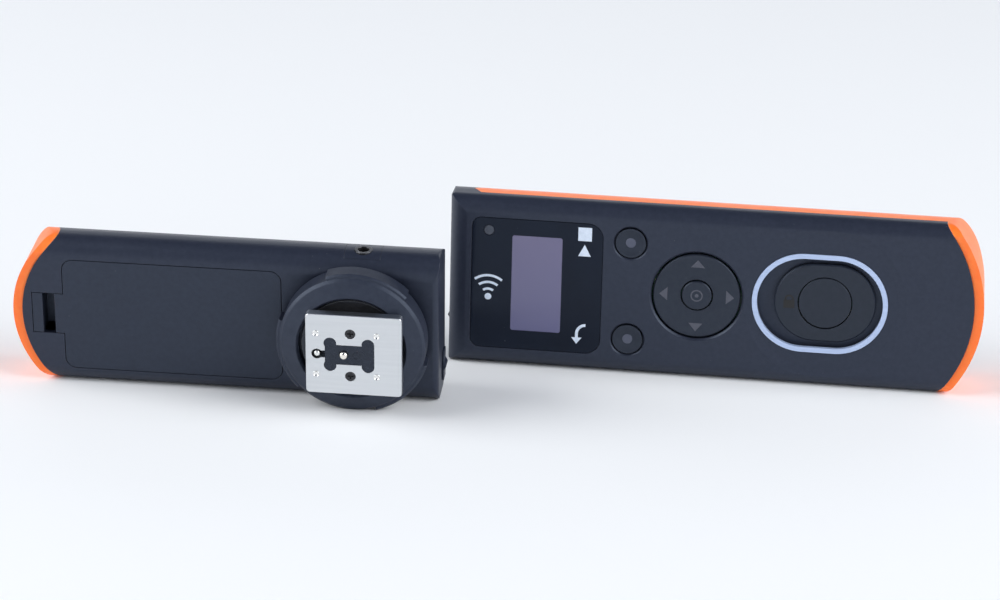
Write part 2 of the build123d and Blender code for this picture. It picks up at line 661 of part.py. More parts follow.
def tx_dpad_ring():
    """Direction ring: a thin dished annulus around the set key."""
    ring = disc_y(DPAD_X, 0, DPAD_R, DPAD_TOP, DPAD_TOP + DPAD_T)
    ring = chamfer(ring.faces().sort_by(Axis.Y)[0].edges(), DPAD_CHAMFER)
    ball_y = DPAD_TOP - math.sqrt(DPAD_DISH_R ** 2 - (DPAD_R - DPAD_RIM) ** 2)
    ring -= Pos(DPAD_X, ball_y, 0) * Sphere(DPAD_DISH_R)
    return ring - disc_y(DPAD_X, 0, SET_R + SET_GAP, -PAST, FRONT_DEEP)


def tx_dpad_rubber():
    """Rubber collar that the direction ring rocks on."""
    r0, r1, y0, y1 = RUBBER
    return disc_y(DPAD_X, 0, r1, y0, y1) - disc_y(DPAD_X, 0, r0, 0, FRONT_DEEP)


def tx_set_key():
    """Round key in the middle of the direction ring."""
    cap = disc_y(DPAD_X, 0, SET_R, SET_TOP, RUBBER[3])
    return fillet(cap.faces().sort_by(Axis.Y)[0].edges(), SET_EDGE_R)


def tx_release_ring():
    """Pale stadium ring around the release pocket."""
    length, width = RING
    outer = stadium(length - FIT, width - FIT)
    inner = stadium(length - 2 * RING_BAND, width - 2 * RING_BAND)
    return slab_y(Pos(RING_X, 0) * (outer - inner), RING_TOP, RING_DEPTH)


def tx_hold_slider():
    """Hold slider: a stadium plate that carries the release button and shifts along the unit."""
    length, width, t = SLIDER
    plate = slab_y(Pos(SLIDER_X, 0) * stadium(length, width), SLIDER_TOP, SLIDER_TOP + t)
    plate = chamfer(plate.faces().sort_by(Axis.Y)[0].edges(), SLIDER_CHAMFER)
    return plate - disc_y(SLIDER_X, 0, BUTTON_R + BUTTON_GAP, 0, FRONT_DEEP)


def tx_release_button():
    """Release button: a round cap with a stem."""
    y0 = SLIDER_TOP + SLIDER[2]
    cap = disc_y(SLIDER_X, 0, BUTTON_R, SLIDER_TOP, y0)
    cap = fillet(cap.faces().sort_by(Axis.Y)[0].edges(), BUTTON_EDGE_R)
    r, length = BUTTON_STEM
    return cap + disc_y(SLIDER_X, 0, r, y0 - ROOT, y0 + length)


def tx_board():
    """Main circuit board, notched around the screw posts and the release contacts."""
    x0, x1 = TX_BOARD_X
    outline = Pos((x0 + x1) / 2, 0) * RectangleRounded(x1 - x0, TX_BOARD_W, BOARD_R)
    board = with_post_notches(slab_y(outline, *TX_BOARD_Y), TX_SCREWS)
    return board & unit_body(TX, inset=WALL + BOARD_CLEAR, rim=RIM)


def tx_tact_switches():
    """Small push switches under the keys and the direction ring."""
    side, t, plunger_r, plunger_t = SWITCH
    r = DPAD_SWITCH_R
    places = [(KEY_X, KEY_Z), (KEY_X, -KEY_Z), (DPAD_X, 0)]
    places += [(DPAD_X + r, 0), (DPAD_X, r), (DPAD_X - r, 0), (DPAD_X, -r)]
    y1 = TX_BOARD_Y[0]
    return group([slab_y(Pos(x, z) * Rectangle(side, side), y1 - t, y1)
                  + disc_y(x, z, plunger_r, y1 - t - plunger_t, y1 - t + ROOT) for x, z in places])


def tx_release_leaves():
    """Two flat spring contacts under the release button, one for each stage."""
    y1 = TX_BOARD_Y[0]
    length, w, t, aside = LEAF
    x0 = SLIDER_X - length / 2
    leaves = []
    for z in (-aside, aside):
        leaf = block(x0, x0 + length, y1 - SLIP - t, y1 - SLIP, z - w / 2, z + w / 2)
        leaves.append(leaf + block(x0, x0 + LEAF_FOOT, y1 - SLIP - t, y1, z - w / 2, z + w / 2))
    return group(leaves)


def light_pipe(x, z, r, y0, y1):
    """Clear rod that brings an indicator's light to the face."""
    rod = disc_y(x, z, r, y0, y1)
    return fillet(rod.faces().sort_by(Axis.Y)[0].edges(), PIPE_EDGE_R)


def led(x, z, y1):
    """Indicator on the board: a small block with a round lens."""
    length, w, t, lens_r, lens_t = LED
    chip = block(x - length / 2, x + length / 2, y1 - t, y1, z - w / 2, z + w / 2)
    return chip + disc_y(x, z, lens_r, y1 - t - lens_t, y1 - t + ROOT)


def transmitter():
    """Every piece of the transmitter, by node name, in the unit's own frame."""
    front, rear = with_screw_posts(TX, front_shell(TX), rear_shell(TX), TX_SCREWS, TX_SCREW_Y[1])
    arms, pegs = band_arms(TX), band_pegs(TX)
    front = tx_front_shell_with_openings(front) - arms - pegs
    rear = rear - arms - pegs
    radio_x, radio_l, radio_w = TX_RADIO
    antenna_x, antenna_turns = TX_ANTENNA
    back_y = TX_BOARD_Y[1]
    return {
        "tx_front_shell": front,
        "tx_rear_shell": rear,
        "tx_band": end_band(TX, arms=True),
        "tx_window": tx_window(),
        "tx_display_pane": slab_y(pane_outline(PANE_MARGIN), SLIP, WINDOW_T),
        "tx_display": tx_display(),
        "tx_light_pipe": light_pipe(*LED_AT, LED_R, PIPE_TOP, PIPE_END[0]),
        "tx_led": led(*LED_AT, TX_BOARD_Y[0]),
        "tx_key_play": tx_key(1),
        "tx_key_back": tx_key(-1),
        "tx_dpad_ring": tx_dpad_ring(),
        "tx_dpad_rubber": tx_dpad_rubber(),
        "tx_set_key": tx_set_key(),
        "tx_release_ring": tx_release_ring(),
        "tx_hold_slider": tx_hold_slider(),
        "tx_release_button": tx_release_button(),
        "tx_release_leaves": tx_release_leaves(),
        "tx_board": tx_board(),
        "tx_tact_switches": tx_tact_switches(),
        "tx_radio_module": radio_module(radio_x, back_y, radio_l, radio_w),
        "tx_antenna": antenna(antenna_x, back_y, antenna_turns),
        "tx_power_knob": power_knob(TX),
        "tx_power_switch_body": power_switch_body(TX),
        "tx_battery_door": battery_door(TX),
        "tx_cell_tray": cell_tray(TX, back_y + BAY_CLEAR),
        "tx_cell_1": cell(TX, 1),
        "tx_cell_2": cell(TX, -1),
        "tx_contact_springs": contact_springs(TX),
        "tx_contact_plates": contact_plates(TX),
        "tx_screws": shell_screws(TX_SCREWS, *TX_SCREW_Y),
    }


# ---------------------------------------------------------------- receiver
def bone_outline():
    """Opening in the foot plate: a waisted window with round lobes at its corners."""
    lobe_r, lobe_z = BONE_LOBE
    x0, x1 = BONE_X
    face = Pos(FOOT_X + (x0 + x1) / 2, 0) * Rectangle(x1 - x0, 2 * BONE_WAIST)
    for x in BONE_LOBE_X:
        for z in (-lobe_z, lobe_z):
            face += Pos(FOOT_X + x, z) * Circle(lobe_r)
    return face + Pos(FOOT_X + x0 + lobe_r / 2, 0) * Rectangle(lobe_r, 2 * lobe_z)


def pin_notch():
    """Round notch beside the foot plate's window, where the lock pin comes through."""
    reach = PIN_X - FOOT_X - NOTCH_X
    slot = Pos(PIN_X - reach / 2, 0) * Rectangle(reach, NOTCH_W)
    return Pos(PIN_X, 0) * Circle(PIN_NOTCH_R) + slot


def rx_foot_plate():
    """Metal foot plate that slides into an accessory shoe."""
    y0 = RX.thick + PLATE_BACK
    y1 = y0 + PLATE[2]
    plate = slab_y(Pos(FOOT_X, 0) * RectangleRounded(PLATE[0], PLATE[1], PLATE_R), y0, y1)
    plate = fillet(plate.faces().sort_by(Axis.Y)[-1].edges(), PLATE_EDGE_R)
    plate -= slab_y(bone_outline() + pin_notch(), y0 - PAST, y1 + PAST)
    head_r, shank_r = FOOT_SCREW[:2]
    for x, z in FOOT_SCREWS:
        plate -= disc_y(x, z, head_r + SLIP, y1 - FOOT_HEAD[1] - ROOT, y1 + PAST)
        plate -= disc_y(x, z, shank_r + 2 * SLIP, y0 - PAST, y1)
    for x, z in RIVETS:
        plate -= disc_y(x, z, RIVET_R, y0 - PAST, y1 + PAST)
    return plate


def rx_foot_rivets():
    """Rivets that hold the foot plate's spring contact, with dimpled heads."""
    y0 = RX.thick + PLATE_BACK
    y1 = y0 + PLATE[2]
    rivets = []
    for x, z in RIVETS:
        rivet = disc_y(x, z, RIVET_R, y0, y1 + RIVET_PROUD)
        rivets.append(rivet - Pos(x, y1 + RIVET_DIMPLE[1], z) * Sphere(RIVET_DIMPLE[0]))
    return group(rivets)


def rx_foot_screws():
    """Black screws that fix the foot plate to its neck."""
    r, shank, length = FOOT_SCREW
    top, under = FOOT_HEAD
    width, span, deep = FOOT_CROSS
    y1 = RX.thick + PLATE_BACK + PLATE[2]
    screws = []
    for x, z in FOOT_SCREWS:
        screw = disc_y(x, z, r, y1 - under, y1 - top) + disc_y(x, z, shank, y1 - length, y1 - under + ROOT)
        screws.append(screw - cross_recess(x, z, y1 - deep, y1, width, span))
    return group(screws)


def rx_foot_insert():
    """Black insulating insert that fills the foot plate's window."""
    y0 = RX.thick + PLATE_BACK
    y1 = y0 + PLATE[2] - INSERT_SUNK
    insert = slab_y(bone_outline(), y0, y1) - disc_y(PIN_X, 0, PIN_NOTCH_R, y0 - PAST, y1 + PAST)
    insert -= disc_y(CONTACT_X, 0, CONTACT_R + CONTACT_GAP, y0 - PAST, y1 + PAST)
    x, r, width, deep = GATE_MARK
    mark = Pos(FOOT_X + x, 0) * (Circle(r) - Circle(r - width))
    return insert - slab_y(mark, y1 - deep, y1 + PAST)


def rx_foot_base():
    """Threaded plastic neck of the foot, with a flange inside the rear shell."""
    y_in = RX.thick - WALL - SLIP
    top = RX.thick + PLATE_BACK
    flange_r, flange_t = NECK_FLANGE
    points = [(0, y_in - flange_t), (flange_r, y_in - flange_t), (flange_r, y_in), (NECK_R, y_in)]
    points.append((NECK_R, RX.thick))
    grooves = int((PLATE_BACK - WHEEL_PITCH) / WHEEL_PITCH)
    for k in range(grooves):
        y = RX.thick + (k + 0.5) * WHEEL_PITCH
        points += [(NECK_R, y), (NECK_R - THREAD_DEEP, y + WHEEL_PITCH / 4), (NECK_R, y + WHEEL_PITCH / 2)]
    points += [(NECK_R, top), (0, top)]
    neck = turned(points, WHEEL_X)
    neck -= disc_y(CONTACT_X, 0, CONTACT_R + CONTACT_GAP, 0, top + PAST)
    for x, z in FOOT_SCREWS:
        neck -= disc_y(x, z, FOOT_SCREW[1] + SLIP, top - FOOT_SCREW[2], top + PAST)
    return neck


def rx_centre_contact():
    """Sprung centre contact with a domed end."""
    top = RX.thick + PLATE_BACK + PLATE[2] + CONTACT_PROUD
    rod = disc_y(CONTACT_X, 0, CONTACT_R, RX.thick - CONTACT_ROOT, top)
    return fillet(rod.faces().sort_by(Axis.Y)[-1].edges(), CONTACT_R - DOME_FLAT)


def rx_pressure_washer():
    """Washer that the lock wheel pushes against the underside of a camera's shoe."""
    r, y, t = WASHER
    y0 = RX.thick + y
    washer = disc_y(WHEEL_X, 0, r, y0, y0 + t)
    washer = chamfer(washer.faces().sort_by(Axis.Y)[-1].edges(), WASHER_CHAMFER)
    return washer - disc_y(WHEEL_X, 0, NECK_R + NECK_RUN, y0 - PAST, y0 + t + PAST)


def rx_lock_pin():
    """Lock pin carried by the pressure washer; it comes out as the wheel is tightened."""
    y0 = RX.thick + WASHER[1] + WASHER[2]
    top = RX.thick + PLATE_BACK + PLATE[2] + PIN_PROUD
    pin = disc_y(PIN_X, 0, PIN_R, y0, top)
    return fillet(pin.faces().sort_by(Axis.Y)[-1].edges(), PIN_R - DOME_FLAT)


def sector(x, r0, r1, a0, a1):
    """Ring sector outline about X = x, between two angles."""
    def at(r, a):
        return (x + r * math.cos(math.radians(a)), r * math.sin(math.radians(a)))
    mid = (a0 + a1) / 2
    edge = Polyline(at(r1, a0), at(r0, a0), at(r0, a1), at(r1, a1))
    return make_face(edge + ThreePointArc(at(r1, a1), at(r1, mid), at(r1, a0)))


def rx_lock_wheel():
    """Lock wheel: a threaded ring with three raised grip lobes and a coned front."""
    t = RX.thick
    y0, y1 = t + WHEEL_Y[0], t + WHEEL_Y[1]
    floor = t + WHEEL_FLOOR_Y
    bore = NECK_R + NECK_RUN
    shoulder = y1 - WHEEL_CONE
    edge, bevel, lip = WHEEL_EDGES
    points = [(bore, y0), (WHEEL_R - edge, y0), (WHEEL_R, y0 + edge), (WHEEL_R, shoulder),
              (WHEEL_R - bevel, shoulder + bevel), (WHEEL_RECESS_R + lip, y1),
              (WHEEL_RECESS_R, y1 - lip), (WHEEL_RECESS_R, floor), (bore, floor)]
    wheel = turned(points, WHEEL_X)
    lobe_y0, lobe_y1 = t + LOBE_Y[0], t + LOBE_Y[1]
    for a0, a1 in LOBES:
        # the receiver faces away from its own front, so angles seen from its rear run the other way
        face = sector(WHEEL_X, WHEEL_R - LOBE_ROOT, LOBE_R, 180 - a1, 180 - a0)
        lobe = slab_y(face, lobe_y0, lobe_y1)
        rim = lobe.edges().filter_by(GeomType.CIRCLE).sort_by(SortBy.RADIUS)[-2:]
        wheel += chamfer(rim, LOBE_CHAMFER)
    return wheel


def jack_top():
    """Height of the jack's mouth above the unit's centre plane."""
    return RX.width / 2 + JACK_PROUD


def rx_jack():
    """Release cable socket: a body with a round collar and a 2.5 mm bore."""
    w, t, length = JACK_BODY
    z1 = RX.width / 2 - WALL - JACK_SUNK
    body = block(FOOT_X - w / 2, FOOT_X + w / 2, JACK_Y - t / 2, JACK_Y + t / 2, z1 - length, z1)
    collar = Pos(FOOT_X, JACK_Y, z1 - ROOT) * post(JACK_RING_R, jack_top() - z1 + ROOT)
    bore = Pos(FOOT_X, JACK_Y, jack_top() - JACK_BORE_L) * post(JACK_BORE_R, JACK_BORE_L + PAST)
    return body + collar - bore


def jack_panel_zone(gap):
    """Block that the jack's panel is cut from."""
    w, y0, y1 = JACK_PANEL
    return block(FOOT_X - w / 2 + gap, FOOT_X + w / 2 - gap, y0 + gap, y1 - gap, RX.width / 4, RX.width)


def rx_jack_panel():
    """Small wall panel around the jack."""
    hole = Pos(FOOT_X, JACK_Y, 0) * Cylinder(JACK_RING_R + SLIP, 2 * RX.width)
    return (hollow_body(RX) & jack_panel_zone(FIT / 2)) - hole


def rx_board():
    """Receiver circuit board, notched around the screw posts."""
    x0, x1, w = RX_BOARD
    outline = Pos((x0 + x1) / 2, 0) * RectangleRounded(x1 - x0, w, BOARD_R)
    return with_post_notches(slab_y(outline, *RX_BOARD_Y), RX_SCREWS)


def rx_pair_key():
    """Pairing key on the receiver's front, flush with the shell."""
    x, r, top, flange_y, end, flange = PAIR_KEY
    return disc_y(x, 0, r, top, flange_y) + disc_y(x, 0, r + flange, flange_y, end)


def receiver():
    """Every piece of the receiver, by node name, in the unit's own frame."""
    front, rear = with_screw_posts(RX, front_shell(RX), rear_shell(RX), RX_SCREWS, RX_SCREW_Y[1])
    pegs = band_pegs(RX)
    front = front - pegs - knob_slot(RX) - jack_panel_zone(0)
    front -= disc_y(PAIR_KEY[0], 0, PAIR_KEY[1] + RUN, -PAST, FRONT_DEEP)
    front -= disc_y(RX_LED_X, 0, LED_R + SLIP, -PAST, FRONT_DEEP)
    rear = rear - pegs - jack_panel_zone(0)
    rear -= disc_y(WHEEL_X, 0, NECK_R + SLIP, RX.thick - WALL - PAST, RX.thick + PAST)
    side, t = PAIR_SWITCH
    board_y, back_y = RX_BOARD_Y
    radio_x, radio_l, radio_w = RX_RADIO
    antenna_x, antenna_turns = RX_ANTENNA
    return {
        "rx_front_shell": front,
        "rx_rear_shell": rear,
        "rx_band": end_band(RX, arms=False),
        "rx_battery_door": battery_door(RX),
        "rx_cell_tray": cell_tray(RX, RX_TRAY_Y),
        "rx_cell_1": cell(RX, 1),
        "rx_cell_2": cell(RX, -1),
        "rx_contact_springs": contact_springs(RX),
        "rx_contact_plates": contact_plates(RX),
        "rx_board": rx_board(),
        "rx_radio_module": radio_module(radio_x, back_y, radio_l, radio_w),
        "rx_antenna": antenna(antenna_x, back_y, antenna_turns),
        "rx_light_pipe": light_pipe(RX_LED_X, 0, LED_R, PIPE_TOP, PIPE_END[1]),
        "rx_led": led(RX_LED_X, 0, board_y),
        "rx_pair_key": rx_pair_key(),
        "rx_tact_switch": slab_y(Pos(PAIR_KEY[0], 0) * Rectangle(side, side), board_y - t, board_y),
        "rx_power_knob": power_knob(RX),
        "rx_power_switch_body": power_switch_body(RX),
        "rx_jack": rx_jack(),
        "rx_jack_panel": rx_jack_panel(),
        "rx_foot_base": rx_foot_base(),
        "rx_foot_plate": rx_foot_plate(),
        "rx_foot_rivets": rx_foot_rivets(),
        "rx_foot_screws": rx_foot_screws(),
        "rx_foot_insert": rx_foot_insert(),
        "rx_centre_contact": rx_centre_contact(),
        "rx_pressure_washer": rx_pressure_washer(),
        "rx_lock_pin": rx_lock_pin(),
        "rx_lock_wheel": rx_lock_wheel(),
        "rx_screws": shell_screws(RX_SCREWS, *RX_SCREW_Y),
    }


# ---------------------------------------------------------------- how the set stands
def receiver_lean():
    """Forward lean, in degrees, at which the lock wheel's rim and the long side share the floor."""
    low = max(WHEEL_R, LOBE_R * math.sin(math.radians(-LOBES[1][0])))
    arm = LOBE_Y[1] + RX.rear_r
    drop = low - (RX.width / 2 - RX.rear_r)
    reach = math.hypot(arm, drop)
    return math.degrees(math.asin(RX.rear_r / reach) - math.atan2(drop, arm))


def receiver_place():
    """Location that turns the receiver's rear to the front and stands it on the floor."""
    lean = receiver_lean()
    turned_round = Rot(0, 0, 180)
    pivot_y = RX.thick
    a = math.radians(lean)
    # the rounded edge's centre is rear_r behind the face and rear_r in from the long side
    down = RX.rear_r - RX.rear_r * math.sin(a) + (RX.width / 2 - RX.rear_r) * math.cos(a)
    stand = Pos(RX_END_X, RX_FACE_Y, down) * Rot(0, 0, RX_TURN)
    return stand * Rot(lean, 0, 0) * Pos(0, pivot_y, 0) * turned_round


def transmitter_place():
    """Location that stands the transmitter on its long side."""
    return Pos(0, 0, TX.width / 2)


def set_centre(nodes):
    """Shift that puts the origin under the middle of the whole set."""
    boxes = [shape.bounding_box() for shape in nodes.values()]
    low_x, high_x = min(b.min.X for b in boxes), max(b.max.X for b in boxes)
    low_y, high_y = min(b.min.Y for b in boxes), max(b.max.Y for b in boxes)
    return Pos(-(low_x + high_x) / 2, -(low_y + high_y) / 2, -min(b.min.Z for b in boxes))


def placed_nodes():
    """All nodes where they stand, before the origin is moved."""
    nodes = {name: transmitter_place() * shape for name, shape in transmitter().items()}
    nodes.update({name: receiver_place() * shape for name, shape in receiver().items()})
    return nodes


def main():
    """Write one STEP file for each node."""
    os.makedirs("parts", exist_ok=True)
    nodes = placed_nodes()
    shift = set_centre(nodes)
    for name, shape in nodes.items():
        export_step(shift * shape, f"parts/{name}.step")


if __name__ == "__main__":
    main()
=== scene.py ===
"""Looks of a wireless trigger set, a hand transmitter and a shoe-mounted receiver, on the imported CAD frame."""

import logging
import math
from dataclasses import dataclass
from enum import Enum

import bmesh
import bpy
from mathutils import Matrix, Vector
from mathutils.bvhtree import BVHTree

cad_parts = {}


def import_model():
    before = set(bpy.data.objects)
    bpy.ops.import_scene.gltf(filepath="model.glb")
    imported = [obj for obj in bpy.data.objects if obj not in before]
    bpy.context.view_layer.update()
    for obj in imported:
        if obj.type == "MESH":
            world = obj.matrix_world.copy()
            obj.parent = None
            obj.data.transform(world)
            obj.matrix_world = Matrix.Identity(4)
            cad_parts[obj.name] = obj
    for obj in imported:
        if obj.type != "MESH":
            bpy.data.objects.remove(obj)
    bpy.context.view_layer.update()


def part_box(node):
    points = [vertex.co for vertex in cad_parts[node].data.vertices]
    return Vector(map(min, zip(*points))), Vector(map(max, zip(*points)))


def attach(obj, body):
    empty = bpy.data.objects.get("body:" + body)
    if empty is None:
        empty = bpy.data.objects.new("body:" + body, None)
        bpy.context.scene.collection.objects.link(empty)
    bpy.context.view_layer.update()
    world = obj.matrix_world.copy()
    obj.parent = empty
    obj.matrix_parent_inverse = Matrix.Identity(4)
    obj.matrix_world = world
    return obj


MM = 0.001
HALF_RING_STEPS = 28
LOG = logging.getLogger("trigger_set")

Colour = tuple[float, float, float]
Point = tuple[float, float]


class Slot(Enum):
    """Two names of material slots in the record, window and key; nothing in this script uses them."""

    WINDOW = "window"
    KEY = "key"


class Towards(Enum):
    """The end of a cell, along X, where its plus pole is."""

    LOW = "low"
    HIGH = "high"


# ------------------------------------------------------------------ shader wiring


class Wiring:
    """Adds nodes to one node tree and joins their sockets."""

    def __init__(self, tree: bpy.types.NodeTree) -> None:
        """Keeps the tree that nodes are added to."""
        self.tree = tree

    def node(self, kind: str, **settings: object) -> bpy.types.Node:
        """Adds a node.

        Args:
            kind: Blender's name of the node type.
            **settings: Attributes of the node, or input sockets written as in_0, in_1 or in_Name.

        Returns:
            The new node.
        """
        made = self.tree.nodes.new(kind)
        inputs = {}
        for key, value in settings.items():
            if key.startswith("in_"):
                inputs[key[3:].replace("_", " ")] = value
            else:
                setattr(made, key, value)
        for key, value in inputs.items():
            target = made.inputs[int(key)] if key.isdigit() else made.inputs[key]
            self.feed(target, value)
        return made

    def feed(self, target: bpy.types.NodeSocket, value: object) -> None:
        """Links a socket to the target, or sets a plain value on it.

        Args:
            target: Input socket to fill.
            value: Output socket to link, or the value itself.
        """
        if isinstance(value, bpy.types.NodeSocket):
            self.tree.links.new(value, target)
        else:
            target.default_value = value

    def math(self, operation: str, a: object, b: object = 0.0) -> bpy.types.NodeSocket:
        """Adds a Math node and gives its result."""
        return self.node("ShaderNodeMath", operation=operation, in_0=a, in_1=b).outputs[0]

    def ramp(
        self, value: object, low: float, high: float, to_low: float = 0.0, to_high: float = 1.0
    ) -> bpy.types.NodeSocket:
        """Maps a value between two limits onto two others, clamped.

        Args:
            value: Socket or number to map.
            low: Value that gives to_low.
            high: Value that gives to_high.
            to_low: Result at low.
            to_high: Result at high.

        Returns:
            The mapped value.
        """
        made = self.node("ShaderNodeMapRange", in_0=value, in_1=low, in_2=high, in_3=to_low, in_4=to_high)
        return made.outputs[0]

    def mix(self, share: object, a: object, b: object) -> bpy.types.NodeSocket:
        """Mixes two colours.

        Args:
            share: Socket or number that picks between them.
            a: Colour, or socket, at share 0.
            b: Colour, or socket, at share 1.

        Returns:
            The mixed colour.
        """
        made = self.node("ShaderNodeMix", data_type="RGBA")
        for target, value in zip((made.inputs[0], made.inputs[6], made.inputs[7]), (share, a, b)):
            self.feed(target, (*value, 1.0) if isinstance(value, tuple) and len(value) == 3 else value)
        return made.outputs[2]


def new_group(
    name: str, inputs: dict[str, float], outputs: dict[str, str]
) -> tuple[Wiring, bpy.types.Node, bpy.types.Node]:
    """Starts a shader node group.

    Args:
        name: The group's name.
        inputs: Names of its number inputs, with their defaults.
        outputs: Names of its outputs, with their socket types.

    Returns:
        The wiring of the group's tree, its input node and its output node.
    """
    tree = bpy.data.node_groups.new(name, "ShaderNodeTree")
    for socket, default in inputs.items():
        tree.interface.new_socket(socket, in_out="INPUT", socket_type="NodeSocketFloat").default_value = default
    for socket, kind in outputs.items():
        tree.interface.new_socket(socket, in_out="OUTPUT", socket_type=kind)
    wiring = Wiring(tree)
    return wiring, wiring.node("NodeGroupInput"), wiring.node("NodeGroupOutput")


class Effects:
    """The shader node groups that several finishes share, each built once. Scales are per metre."""

    PIT_SHARE = 0.5
    TONE_SCALE = 0.35
    TONE_SPAN = (0.3, 0.7)
    DRAWN_OUT = (0.03, 1.0, 1.0)
    STREAK_SCALE = 0.2
    STREAK_SPAN = (0.25, 0.75)
    SMEAR_SCALE = 90.0
    MOTE_SCALE = 650.0
    MOTE_EDGE = (0.03, 0.07)
    RARE_SCALE = 140.0
    RARE_SPAN = (0.6, 0.7)

    def __init__(self) -> None:
        """Builds every group."""
        self.soft_edge = self.build_soft_edge()
        self.mould_grain = self.build_mould_grain()
        self.brushed = self.build_brushed()
        self.handling = self.build_handling()

    def build_soft_edge(self) -> bpy.types.NodeTree:
        """Rounds sharp edges in the shading, and marks them for a lighter edge colour: scuffing, and on the
        washer a painted highlight.

        Returns:
            The group, with inputs Radius and Spread and outputs Normal and Edge.
        """
        wiring, given, result = new_group(
            "soft_edge",
            {"Radius": 0.15 * MM, "Spread": 0.5},
            {"Normal": "NodeSocketVector", "Edge": "NodeSocketFloat"},
        )
        rounded = wiring.node("ShaderNodeBevel", samples=6, in_Radius=given.outputs["Radius"]).outputs[0]
        true = wiring.node("ShaderNodeNewGeometry").outputs["True Normal"]
        likeness = wiring.node("ShaderNodeVectorMath", operation="DOT_PRODUCT", in_0=rounded, in_1=true)
        bend = wiring.math("SUBTRACT", 1.0, likeness.outputs["Value"])
        spread = given.outputs["Spread"]
        edge = wiring.node("ShaderNodeMath", operation="DIVIDE", use_clamp=True, in_0=bend, in_1=spread)
        wiring.feed(result.inputs["Normal"], rounded)
        wiring.feed(result.inputs["Edge"], edge.outputs[0])
        return wiring.tree

    def build_mould_grain(self) -> bpy.types.NodeTree:
        """Gives the fine spark-eroded grain of a mould.

        Returns:
            The group, with input Pitch in metres and outputs Height and Tone.
        """
        wiring, given, result = new_group(
            "mould_grain", {"Pitch": 0.3 * MM}, {"Height": "NodeSocketFloat", "Tone": "NodeSocketFloat"}
        )
        place = wiring.node("ShaderNodeTexCoord").outputs["Object"]
        scale = wiring.math("DIVIDE", 1.0, given.outputs["Pitch"])
        fine = wiring.node(
            "ShaderNodeTexNoise", in_Vector=place, in_Scale=scale, in_Detail=3.0, in_Roughness=0.6
        )
        pits = wiring.node("ShaderNodeTexVoronoi", feature="SMOOTH_F1", in_Vector=place, in_Scale=scale)
        height = wiring.math("MULTIPLY_ADD", pits.outputs["Distance"], self.PIT_SHARE)
        wiring.feed(height.node.inputs[2], fine.outputs[0])
        coarse = wiring.math("MULTIPLY", scale, self.TONE_SCALE)
        tone = wiring.node("ShaderNodeTexNoise", in_Vector=place, in_Scale=coarse, in_Detail=4.0)
        wiring.feed(result.inputs["Height"], height)
        wiring.feed(result.inputs["Tone"], wiring.ramp(tone.outputs[0], *self.TONE_SPAN))
        return wiring.tree

    def build_brushed(self) -> bpy.types.NodeTree:
        """Gives the fine parallel lines of brushed plate, running along X.

        Returns:
            The group, with input Pitch in metres and outputs Height and Streak.
        """
        wiring, given, result = new_group(
            "brushed_lines", {"Pitch": 0.12 * MM}, {"Height": "NodeSocketFloat", "Streak": "NodeSocketFloat"}
        )
        place = wiring.node("ShaderNodeTexCoord").outputs["Object"]
        stretch = wiring.node("ShaderNodeVectorMath", operation="MULTIPLY", in_0=place, in_1=self.DRAWN_OUT)
        drawn = stretch.outputs[0]
        scale = wiring.math("DIVIDE", 1.0, given.outputs["Pitch"])
        coarse = wiring.math("MULTIPLY", scale, self.STREAK_SCALE)
        fine = wiring.node("ShaderNodeTexNoise", in_Vector=drawn, in_Scale=scale, in_Detail=3.0)
        wide = wiring.node("ShaderNodeTexNoise", in_Vector=drawn, in_Scale=coarse, in_Detail=2.0)
        wiring.feed(result.inputs["Height"], fine.outputs[0])
        wiring.feed(result.inputs["Streak"], wiring.ramp(wide.outputs[0], *self.STREAK_SPAN))
        return wiring.tree

    def build_handling(self) -> bpy.types.NodeTree:
        """Gives the uneven gloss that handling leaves, and a few specks of dust.

        Returns:
            The group, with inputs Roughness, Spread and Dust and outputs Roughness and Speck.
        """
        wiring, given, result = new_group(
            "handling",
            {"Roughness": 0.4, "Spread": 0.06, "Dust": 0.3},
            {"Roughness": "NodeSocketFloat", "Speck": "NodeSocketFloat"},
        )
        place = wiring.node("ShaderNodeTexCoord").outputs["Object"]
        smear = wiring.node(
            "ShaderNodeTexNoise", in_Vector=place, in_Scale=self.SMEAR_SCALE, in_Detail=5.0, in_Distortion=0.6
        )
        about_zero = wiring.math("SUBTRACT", smear.outputs[0], 0.5)
        shift = wiring.math("MULTIPLY", about_zero, given.outputs["Spread"])
        wiring.feed(result.inputs["Roughness"], wiring.math("ADD", given.outputs["Roughness"], shift))
        motes = wiring.node("ShaderNodeTexVoronoi", in_Vector=place, in_Scale=self.MOTE_SCALE)
        near = wiring.ramp(motes.outputs["Distance"], *self.MOTE_EDGE, 1.0, 0.0)
        rare = wiring.node("ShaderNodeTexNoise", in_Vector=place, in_Scale=self.RARE_SCALE)
        speck = wiring.math("MULTIPLY", near, wiring.ramp(rare.outputs[0], *self.RARE_SPAN))
        wiring.feed(result.inputs["Speck"], wiring.math("MULTIPLY", speck, given.outputs["Dust"]))
        return wiring.tree


# ------------------------------------------------------------------ finishes


